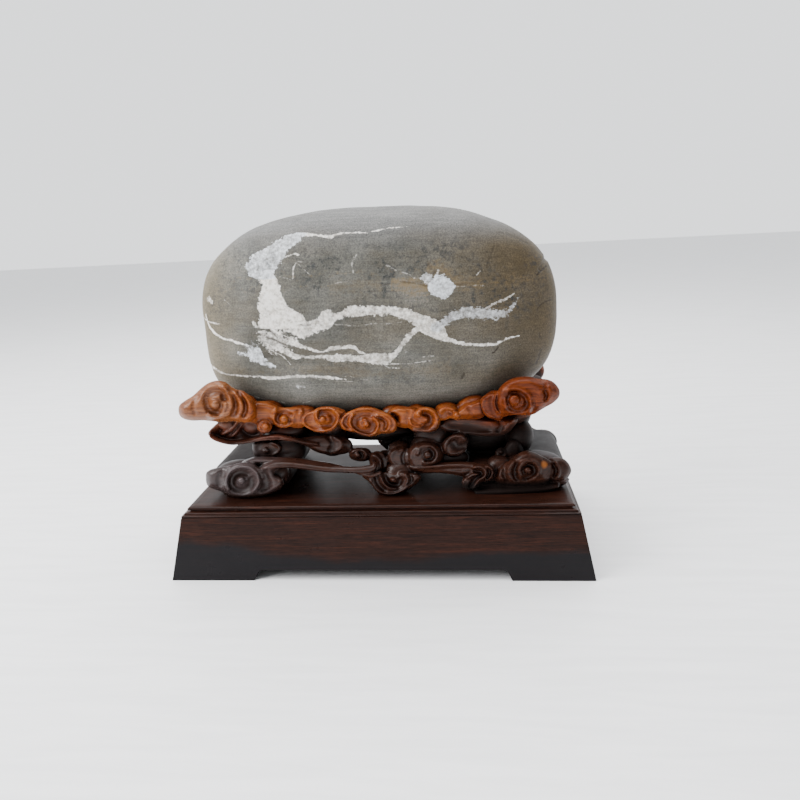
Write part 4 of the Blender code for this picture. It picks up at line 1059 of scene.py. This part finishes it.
def stone_material():
    s = Shader("river_stone")
    place = s.place()
    x, y, z = s.split(place)
    # Towards the back the pattern wanders, so that the two faces differ as they do on a real pebble.
    wander = s.vector("SUBTRACT", s.noise(place, 14.0, 2.0, output="Color"), (0.5, 0.5, 0.5))
    wander = s.vector("SCALE", wander, s.spread(y, -0.02, 0.04, 0.0, 0.10), "Scale")
    tremble = s.vector("SUBTRACT", s.noise(place, 330.0, 3.0, 0.6, output="Color"), (0.5, 0.5, 0.5))
    tremble = s.vector("SCALE", tremble, 0.0009, "Scale")
    moved_x, _, moved_z = s.split(s.vector("ADD", s.vector("ADD", place, wander), tremble))
    shares = [
        s.spread(value, low * MM, high * MM)
        for value, (low, high) in ((moved_x, X_RANGE), (moved_z, Z_RANGE))
    ]
    fine = s.minus(s.noise(place, 460.0, 4.0, 0.66), 0.5)
    streaks = s.minus(s.noise(s.scaled(place, (0.22, 1.0, 1.0)), 640.0, 4.0, 0.65), 0.5)
    break_up = {"z": fine, "x": s.times(s.math("ADD", fine, streaks), 0.62)}
    # The cool veins are a little translucent, the weak ones are faint, and all of them are cloudy.
    veins = joined(s, shares, break_up, VEINS)
    cool = joined(s, shares, break_up, [band for band in VEINS if band[4] > 0.4])
    coarse = s.minus(s.noise(place, 210.0, 4.0, 0.7), 0.5)
    covered = s.math("MULTIPLY_ADD", coarse, 0.7, s.math("MULTIPLY_ADD", fine, 1.1, veins))
    covered = s.times(s.spread(covered, 0.34, 0.92), s.spread(veins, 0.0, 0.15))
    cloudy = s.math("MULTIPLY_ADD", cool, -0.05, s.math("MULTIPLY_ADD", coarse, 1.1, 0.96), clamp=True)
    veins = s.times(covered, cloudy, s.spread(veins, 0.22, 0.72, 0.30, 1.0))
    cracks = joined(s, shares, break_up, CRACKS)
    stains = joined(s, shares, break_up, STAINS)

    # Ground: a warm dark grey, brown to the right, paler near the bottom, with painted light on top and at
    # the left end.
    mottled = s.noise(place, 30.0, 6.0, 0.6)
    greys = (0.30, (0.056, 0.054, 0.045)), (0.5, (0.096, 0.093, 0.080)), (0.70, (0.155, 0.150, 0.131))
    ground = s.ramp(mottled, *greys)
    brown = s.spread(s.noise(s.scaled(place, (0.35, 1.0, 1.0)), 42.0, 4.0, 0.6), 0.46, 0.66, 0.0, 0.5)
    ground = s.mix(brown, ground, (0.108, 0.087, 0.058))
    # To the right the stone is browner, and darker with painted shade.
    right = s.spread(s.math("MULTIPLY_ADD", z, 0.30, x), 0.085, 0.160, 0.0, 0.85)
    ground = s.mix(right, ground, (0.070, 0.047, 0.019))
    # The left end is paler with painted light.
    ground = s.mix(s.spread(x, -0.082, -0.116, 0.0, 0.75), ground, (0.165, 0.134, 0.082))
    # The top is paler and cooler: a painted light from above and a painted sky reflection.
    painted_top_light = s.times(s.minus(s.noise(place, 30.0), 0.5), 0.8)
    painted_top_light = s.math("ADD", s.spread(z, 0.206, 0.226), painted_top_light, clamp=True)
    ground = s.mix(s.times(painted_top_light, 0.8), ground, (0.118, 0.118, 0.118))
    ground = s.mix(s.spread(z, 0.128, 0.108, 0.0, 0.6), ground, (0.136, 0.128, 0.111))
    # Blue-black specks lie above its middle, and a few low on the left.
    high = s.times(s.spread(z, 0.150, 0.175), s.spread(z, 0.222, 0.205))
    low = s.times(s.spread(z, 0.116, 0.124, 0.0, 0.5), s.spread(z, 0.150, 0.142))
    low = s.times(low, s.spread(x, -0.075, -0.050), s.spread(x, 0.060, 0.030))
    zone = s.times(s.largest(high, low), s.spread(s.noise(place, 26.0, 2.0), 0.36, 0.58))
    specks = s.spread(s.noise(place, 290.0, 4.0, 0.65), 0.50, 0.62)
    ground = s.mix(s.times(specks, zone, 0.80), ground, (0.028, 0.030, 0.032))
    lines = s.noise(s.scaled(place, (0.05, 0.4, 1.0)), 700.0, 3.0, 0.6)
    ground = s.tint(ground, s.ramp(lines, (0.32, 0.84), (0.68, 1.16)))
    grain = s.noise(place, 1100.0, 4.0, 0.7)
    ground = s.tint(ground, s.ramp(grain, (0.32, 0.55), (0.5, 1.0), (0.68, (1.5, 1.48, 1.44))))
    ground = s.mix(stains, ground, (0.21, 0.138, 0.055))

    clouds = s.noise(place, 420.0, 4.0, 0.7)
    whites = (0.30, (0.50, 0.45, 0.38)), (0.52, (0.82, 0.78, 0.72)), (0.68, (0.90, 0.88, 0.84))
    pale = s.ramp(clouds, (0.30, (0.46, 0.48, 0.50)), (0.6, (0.76, 0.79, 0.83)))
    chalk = s.mix(s.math("MULTIPLY", cool, 1.3, clamp=True), s.ramp(clouds, *whites), pale)
    colour = s.mix(veins, ground, chalk)
    colour = s.mix(cracks, colour, (0.022, 0.016, 0.010))
    pits = s.noise(place, 620.0, 5.0, 0.7)
    sunk = s.minus(s.noise(place, 70.0, 3.0, 0.5), s.times(cracks, 0.5))
    normal = s.bump(pits, 0.30, 0.0004, s.bump(sunk, 0.30, 0.0016))
    rough = s.math("ADD", s.spread(pits, 0.3, 0.7, 0.46, 0.60), s.times(veins, 0.12))
    return s.finish(Base_Color=colour, Roughness=rough, Normal=normal, Specular_IOR_Level=0.25)


def wood_colour(s, place, grain_scale, shades, across=(1.0, 9.0, 14.0)):
    """Long wandering grain in three shades, dark to light, with fine pores drawn out along it."""
    rings = s.noise(s.scaled(place, across), grain_scale, 5.0, 0.62, 1.2)
    figure = s.ramp(rings, *zip((0.30, 0.5, 0.70), shades))
    pores = s.noise(s.scaled(place, (12.0, 160.0, 160.0)), 12.0, 3.0, 0.6)
    streaks = s.ramp(pores, (0.36, (0.55, 0.5, 0.48)), (0.5, 1.0), (0.7, (1.12, 1.1, 1.08)))
    return s.tint(figure, streaks), pores


HONEY = ((0.110, 0.021, 0.0035), (0.185, 0.043, 0.007), (0.28, 0.082, 0.015))
BROWN = ((0.0175, 0.0067, 0.0043), (0.0268, 0.0098, 0.0060), (0.047, 0.0163, 0.0090))
TAN = ((0.104, 0.030, 0.0088), (0.158, 0.054, 0.018), (0.232, 0.092, 0.036))
RUSSET = ((0.052, 0.0088, 0.0020), (0.096, 0.018, 0.0036), (0.150, 0.034, 0.0075))
# Below this height, in metres, the right foot's underside gets painted shade.
UNDER_RIGHT = 0.056
SAPWOOD = (0.1103, -0.0440, 0.0684)


def stand_material():
    s = Shader("stand_wood")
    place = s.place()
    x, y, z = s.split(place)
    (honey, pores), (brown, _), (tan, _), (russet, _) = (
        wood_colour(s, place, 26.0, shades) for shades in (HONEY, BROWN, TAN, RUSSET)
    )
    blur = s.times(s.minus(s.noise(place, 40.0, 3.0), 0.5), 0.02)
    height = s.math("ADD", z, blur)
    sideways = s.math("ADD", x, blur)
    out, deep = s.size(x), s.size(y)
    # Left wing paler tan, right side darker russet: partly wood colour, partly painted light and shade.
    upper = s.mix(s.spread(sideways, -0.082, -0.096), honey, tan)
    upper = s.mix(s.spread(sideways, 0.050, 0.072), upper, russet)
    # Below the upper row the wood is dark brown, redder at the leaf; the ends get a grey painted sheen.
    leaf = s.times(s.spread(x, -0.050, -0.066), s.spread(height, 0.084, 0.090))
    brown = s.mix(s.times(leaf, 0.75), brown, (0.102, 0.032, 0.0180))
    # The left foot and the right end are greyer: a painted sheen.
    foot = s.times(s.spread(x, -0.060, -0.086), s.spread(height, 0.080, 0.074))
    end = s.times(s.spread(x, 0.094, 0.104), s.spread(deep, 0.038, 0.033))
    foot = s.largest(foot, s.times(end, s.spread(height, 0.078, 0.072)))
    greys = s.mix(s.spread(x, -0.096, -0.104), (0.059, 0.0465, 0.0475), (0.038, 0.0295, 0.0300))
    brown = s.mix(s.times(foot, 0.75), brown, s.mix(end, greys, (0.066, 0.0590, 0.0640)))
    rise = s.math("MULTIPLY_ADD", out, -0.085, height)
    colour = s.mix(s.spread(rise, 0.0865, 0.0925), brown, upper)
    # A fleck of pale sapwood shows on the right foot.
    fleck = s.vector("DISTANCE", place, SAPWOOD, output="Value")
    colour = s.mix(s.spread(fleck, 0.0032, 0.0012, 0.0, 0.85), colour, (0.26, 0.085, 0.018))
    # Painted shade: the depths, right hollows, underside and back wings' near side go nearly black.
    painted_shade = s.times(s.spread(deep, 0.036, 0.024), s.spread(height, 0.100, 0.086))
    right_hollow_shade = s.times(s.spread(x, 0.050, 0.060), s.spread(height, 0.094, 0.086))
    right_hollow_shade = s.times(right_hollow_shade, s.spread(height, 0.068, 0.074), s.spread(deep, 0.040, 0.032))
    under = s.times(s.spread(x, 0.050, 0.058), s.spread(x, 0.122, 0.114))
    under = s.times(under, s.spread(z, UNDER_RIGHT + 0.002, UNDER_RIGHT - 0.002))
    behind = s.times(s.spread(y, 0.0, 0.010), s.spread(y, 0.036, 0.033), s.spread(out, 0.096, 0.102))
    painted_shade = s.largest(painted_shade, right_hollow_shade, under, behind)
    colour = s.mix(s.times(painted_shade, 0.85), colour, (0.005, 0.003, 0.0026))
    # Painted shade darkens and reddens the hollows; edges are lighter with wear and a painted highlight.
    hollow = s.node("AmbientOcclusion", {"Distance": 0.006}, output="AO", samples=8)
    shade = s.ramp(hollow, (0.26, (0.17, 0.085, 0.06)), (0.62, (0.62, 0.49, 0.41)), (0.92, 1.14))
    colour = s.tint(colour, shade)
    # Convex edges are lighter and cooler, with wear and a painted highlight.
    edges = s.node("NewGeometry", {}, output="Pointiness")
    colour = s.mix(s.spread(edges, 0.515, 0.62, 0.0, 0.5), colour, s.tint(colour, (1.6, 1.75, 1.9)))
    normal = s.bump(pores, 0.12, 0.0004)
    handled = s.spread(s.noise(place, 90.0, 4.0, 0.6), 0.3, 0.7, 0.24, 0.40)
    rough = s.math("MULTIPLY_ADD", s.largest(under, s.times(painted_shade, 0.6)), 0.5, handled, clamp=True)
    polish = s.largest(s.spread(x, 0.055, 0.085, 0.26, 0.13), s.times(end, 0.30))
    return s.finish(Base_Color=colour, Roughness=rough, Normal=normal, Specular_IOR_Level=polish)


PLINTH_SHADES = ((0.0112, 0.0044, 0.0031), (0.0198, 0.0071, 0.0045), (0.039, 0.0120, 0.0066))
# The nearly black heartwood at the foot of the plinth: (share of the length, height of its edge in mm).
DARK_EDGE = (
    (0.0, 25.0), (0.11, 24.5), (0.15, 23.6), (0.19, 20.5), (0.25, 17.0), (0.32, 15.0), (0.41, 13.8),
    (0.53, 13.0), (0.60, 13.4), (0.67, 15.5), (0.74, 17.4), (0.80, 18.0), (0.87, 18.0), (0.94, 18.5),
    (1.0, 19.0),
)
# The height that the curve of that edge runs up to, in millimetres.
DARK_RANGE = 50.0


def plinth_material(name, along):
    s = Shader(name)
    place = s.place()
    across = (1.0, 20.0, 26.0) if along == "x" else (20.0, 1.0, 26.0)
    colour, pores = wood_colour(s, place, 20.0, PLINTH_SHADES, across)
    x, _, z = s.split(place)
    half = PLINTH_LENGTH / 2 * MM
    edge = curve_of(s, s.spread(x, -half, half), DARK_EDGE, 0.0, DARK_RANGE)
    wave = s.noise(s.scaled(place, (0.5, 1.0, 1.0)), 60.0, 4.0, 0.6)
    over = s.minus(s.math("ADD", z, s.times(s.minus(wave, 0.5), 0.009)), s.times(edge, DARK_RANGE * MM))
    colour = s.mix(s.spread(over, 0.0030, -0.0022, 0.0, 0.92), colour, (0.0080, 0.0078, 0.0092))
    rough = s.spread(s.noise(place, 60.0, 4.0, 0.6), 0.3, 0.7, 0.26, 0.40)
    normal = s.bump(pores, 0.10, 0.0004)
    return s.finish(Base_Color=colour, Roughness=rough, Normal=normal, Specular_IOR_Level=0.13)


def floor_material():
    s = Shader("pale_table")
    grain = s.noise(s.scaled(s.place(), (1.0, 10.0, 1.0)), 12.0, 4.0, 0.6, 0.4)
    colour = s.ramp(grain, (0.35, (0.86, 0.86, 0.87)), (0.6, (0.92, 0.92, 0.93)))
    return s.finish(Base_Color=colour, Roughness=0.5)


# ---------------------------------------------------------------- plinth

PLINTH_LENGTH, PLINTH_DEPTH = 280.0, 144.6
APRON_HEIGHT, APRON_LEAN, APRON_THICKNESS = 42.0, 8.6, 9.0
# The aprons: (side, widths of the left and the right foot seen from outside, turn about Z).
PLINTH_BOARDS = (
    ("front", (57.0, 52.5), 0), ("right", (34.0, 34.0), math.pi / 2),
    ("back", (52.5, 57.0), math.pi), ("left", (34.0, 34.0), -math.pi / 2),
)
# The board's edge from the bottom up, as (height above the aprons, how far in from their top edge).
BOARD_EDGE = (
    (0.3, 0.5), (0.5, 0.1), (0.9, 0.0), (1.1, 0.4), (1.25, 1.6), (1.4, 1.9), (1.6, 1.8), (2.0, 1.8),
    (2.4, 2.1), (2.6, 2.8), (2.7, 4.6), (2.9, 5.0), (3.5, 5.1), (3.9, 4.9), (4.1, 4.3), (4.4, 3.8),
    (4.9, 3.6), (5.4, 3.8), (5.8, 4.3), (6.0, 5.2), (6.0, 8.0),
)
# A foot's bracket, as (along, height) from where the board's cut-away meets the floor.
BRACKET = (
    (0.0, 0.0), (0.6, 0.9), (1.4, 2.6), (2.2, 4.4), (3.2, 5.8), (4.6, 6.6), (6.5, 6.9), (9.0, 7.0)
)
MITRE_GAP, BOARD_GAP = 0.15, 0.3


def apron(name, length, distance, feet, turn, material):
    """One mitred board of the plinth, leaning out to its feet, with eased edges."""
    half = length / 2
    left, right = feet[0] - half, half - feet[1]
    lower = [(-half, 0.0), *((left + out, up) for out, up in BRACKET)]
    lower += [*((right - out, up) for out, up in reversed(BRACKET)), (half, 0.0)]
    bm = bmesh.new()
    xs = sorted({round(x, 3) for x, _ in lower} | {round(v, 3) for v in np.linspace(-half, half, 60)})
    under = np.interp(xs, [x for x, _ in lower], [z for _, z in lower])
    grid = []
    for x, low in zip(xs, under):
        column = []
        for depth in (0, APRON_THICKNESS):
            for height in (low, APRON_HEIGHT - BOARD_GAP):
                inset = APRON_LEAN * height / APRON_HEIGHT + depth
                limit = half - inset - MITRE_GAP
                corner = (max(-limit, min(limit, x)), inset - distance, height)
                column.append(bm.verts.new([value * MM for value in corner]))
        grid.append(column)
    for column, after in zip(grid, grid[1:]):
        for a, b in ((0, 1), (1, 3), (3, 2), (2, 0)):
            bm.faces.new((column[a], after[a], after[b], column[b]))
    for column in (grid[0], grid[-1]):
        bm.faces.new((column[0], column[1], column[3], column[2]))
    bmesh.ops.remove_doubles(bm, verts=bm.verts, dist=0.00002)
    bmesh.ops.dissolve_degenerate(bm, edges=bm.edges, dist=0.00001)
    made = add_object(name, finished_mesh(bm, name, material))
    made.data.transform(Matrix.Rotation(turn, 4, "Z"))
    ease = made.modifiers.new("eased_edges", "BEVEL")
    ease.width = 0.6 * MM
    ease.segments = 3
    ease.limit_method = "ANGLE"
    ease.angle_limit = math.radians(35)
    made.modifiers.new("even_normals", "WEIGHTED_NORMAL")
    return made


def moulded_board(material):
    """The plinth's top board with its run of mouldings, sharp only at its corners."""
    bm = bmesh.new()
    loops = []
    for height, inset in BOARD_EDGE:
        x, y = (side / 2 - APRON_LEAN - inset for side in (PLINTH_LENGTH, PLINTH_DEPTH))
        z = APRON_HEIGHT + height - BOARD_GAP
        corners = ((-x, -y, z), (x, -y, z), (x, y, z), (-x, y, z))
        loops.append([bm.verts.new(Vector(corner) * MM) for corner in corners])
    for lower, upper in zip(loops, loops[1:]):
        for i in range(4):
            bm.faces.new((lower[i], lower[(i + 1) % 4], upper[(i + 1) % 4], upper[i]))
    bm.faces.new(loops[0])
    bm.faces.new(loops[-1])
    mesh = finished_mesh(bm, "plinth_board", material)
    for edge in mesh.edges:
        start, end = (mesh.vertices[i].co for i in edge.vertices)
        across = [abs(value) > 1e-6 for value in (end - start).xy]
        edge.use_edge_sharp = all(across) or not any(across)
    return add_object("plinth_board", mesh)


# ---------------------------------------------------------------- assembly


ROUGH_SCALE, ROUGH_HEIGHT, ROUGH_SINK = 0.018, 0.9, 0.5
NICK_DEPTH, NICK_WIDTH = 1.4, 2.6


def build_stone():
    directions, faces = cube_sphere(84)
    places = stone_places(directions)
    sampled = (places - STONE_CENTRE) * ROUGH_SCALE
    rough = np.array([noise.fractal(Vector(sample), 1.0, 2.0, 4) for sample in sampled])
    places += directions * (rough * ROUGH_HEIGHT - ROUGH_SINK)[:, None]
    nick = distance_to(np.array(NICK), places[:, ::2])
    fade = np.clip((14 - places[:, 1]) / 20, 0, 1)
    places -= directions * (NICK_DEPTH * bell(nick, NICK_WIDTH) * fade)[:, None]
    stone = mesh_object("veined_stone", places * MM, faces, stone_material())
    dress(stone, "stone")


def below(height, places, faces):
    """The part of a closed form that lies under a height, closed with a flat top."""
    bm = bmesh.new()
    verts = [bm.verts.new(place) for place in places]
    for face in faces:
        bm.faces.new([verts[i] for i in face])
    cut = {"geom": [*bm.verts, *bm.edges, *bm.faces], "plane_co": (0, 0, height), "plane_no": (0, 0, 1)}
    bmesh.ops.bisect_plane(bm, **cut, clear_outer=True)
    bmesh.ops.contextual_create(bm, geom=[edge for edge in bm.edges if edge.is_boundary])
    bm.verts.index_update()
    kept = [tuple(vert.co) for vert in bm.verts]
    faces = [tuple(vert.index for vert in face.verts) for face in bm.faces]
    bm.free()
    return kept, faces


def build_stand(material):
    tiers = {}
    for form, tier, values in CARVING:
        form(tiers.setdefault(tier, Store()), **values)
    for tier, x, z, depth, sizes, lean in BACKING:
        lobe(tiers[tier], x, z, -depth, sizes, lean)
    core = Store()
    directions, faces = cube_sphere(40)
    core.add(*below(TRAY_TOP, stone_places(directions, TRAY_WALL), faces))
    for low, high in SLAB_ENDS:
        slab_end(core, low, high)
    for x, z, depth, sizes in PILLARS:
        for side in (-1, 1):
            lobe(core, x, z, side * depth, sizes)
    pieces = [fuse("stand_core", core, CORE_VOXEL, CORE_TRIANGLES)]
    for tier, store in tiers.items():
        front = fuse(f"front_{tier}_carving", store, CARVING_VOXEL, TRIANGLES[tier])
        drop = BACK_WING_DROP if tier == "right_wing" else 0
        low_end = BACK_LOW_END if tier == "lower" else 1.0
        pieces += [front, mirrored(f"back_{tier}_carving", front, drop, low_end)]
    for piece in pieces:
        piece.data.materials.append(material)
        dress(piece, "cloud_stand")


def slab_end(store, low, high):
    """One smooth end of the lower tier: a board with a half-round edge and rounded corners."""
    left, right, aside = low + SLAB_CORNER, high - SLAB_CORNER, SLAB_DEPTH / 2 - SLAB_CORNER
    corners = ((right, aside, 0), (left, aside, 90), (left, -aside, 180), (right, -aside, 270))
    outline = []
    for x, y, start in corners:
        for step in range(13):
            angle = math.radians(start + step * 7.5)
            outline.append((x, y, math.cos(angle), math.sin(angle)))
    count, levels = len(outline), 14
    middle, round_edge = (SLAB_TOP + SLAB_BOTTOM) / 2, (SLAB_TOP - SLAB_BOTTOM) / 2
    places, faces = [], []
    for level in range(levels):
        tilt = math.radians(-86 + 172 * level / (levels - 1))
        reach = SLAB_CORNER - round_edge * (1 - math.cos(tilt))
        z = middle + round_edge * math.sin(tilt)
        places += [(x + reach * along, y + reach * across, z) for x, y, along, across in outline]
    for level in range(levels - 1):
        faces += ring_faces(level * count, (level + 1) * count, count)
    faces += [tuple(range(count)), tuple(range((levels - 1) * count, levels * count))]
    store.add(places, faces)


def build_plinth():
    lengthwise, crosswise = plinth_material("plinth_wood", "x"), plinth_material("plinth_wood_ends", "y")
    long_side, end = (PLINTH_LENGTH, PLINTH_DEPTH / 2), (PLINTH_DEPTH, PLINTH_LENGTH / 2)
    for side, feet, turn in PLINTH_BOARDS:
        size, finish = (end, crosswise) if side in ("right", "left") else (long_side, lengthwise)
        board = apron(f"{side}_board", *size, feet, turn, finish)
        dress(board, f"plinth_{side}_apron")
    dress(moulded_board(lengthwise), "plinth_top")


# The studio is brightest towards this side, behind the stand.
BRIGHT_SIDE = (-0.32, 0.85, 0.30)


def build_stage():
    corners = [(-4, -4, 0), (4, -4, 0), (4, 4, 0), (-4, 4, 0)]
    mesh_object("floor", corners, [(0, 1, 2, 3)], floor_material())
    s = Shader("studio", bpy.data.worlds, "Background")
    direction = s.node("TexCoord", {}, output="Generated")
    bright = s.vector("DOT_PRODUCT", direction, BRIGHT_SIDE, output="Value")
    strength = s.spread(bright, -0.45, 0.45, 0.42, 1.8)
    bpy.context.scene.world = s.finish(Color=(0.96, 0.98, 1.0), Strength=strength)
    area_light("overhead", (-0.1, 0.15, 1.2), (1.3, 1.0), 26)
    area_light("window", (-1.1, -0.55, 0.75), (0.8, 0.8), 24)


make_camera()
build_stone()
build_stand(stand_material())
build_plinth()
build_stage()
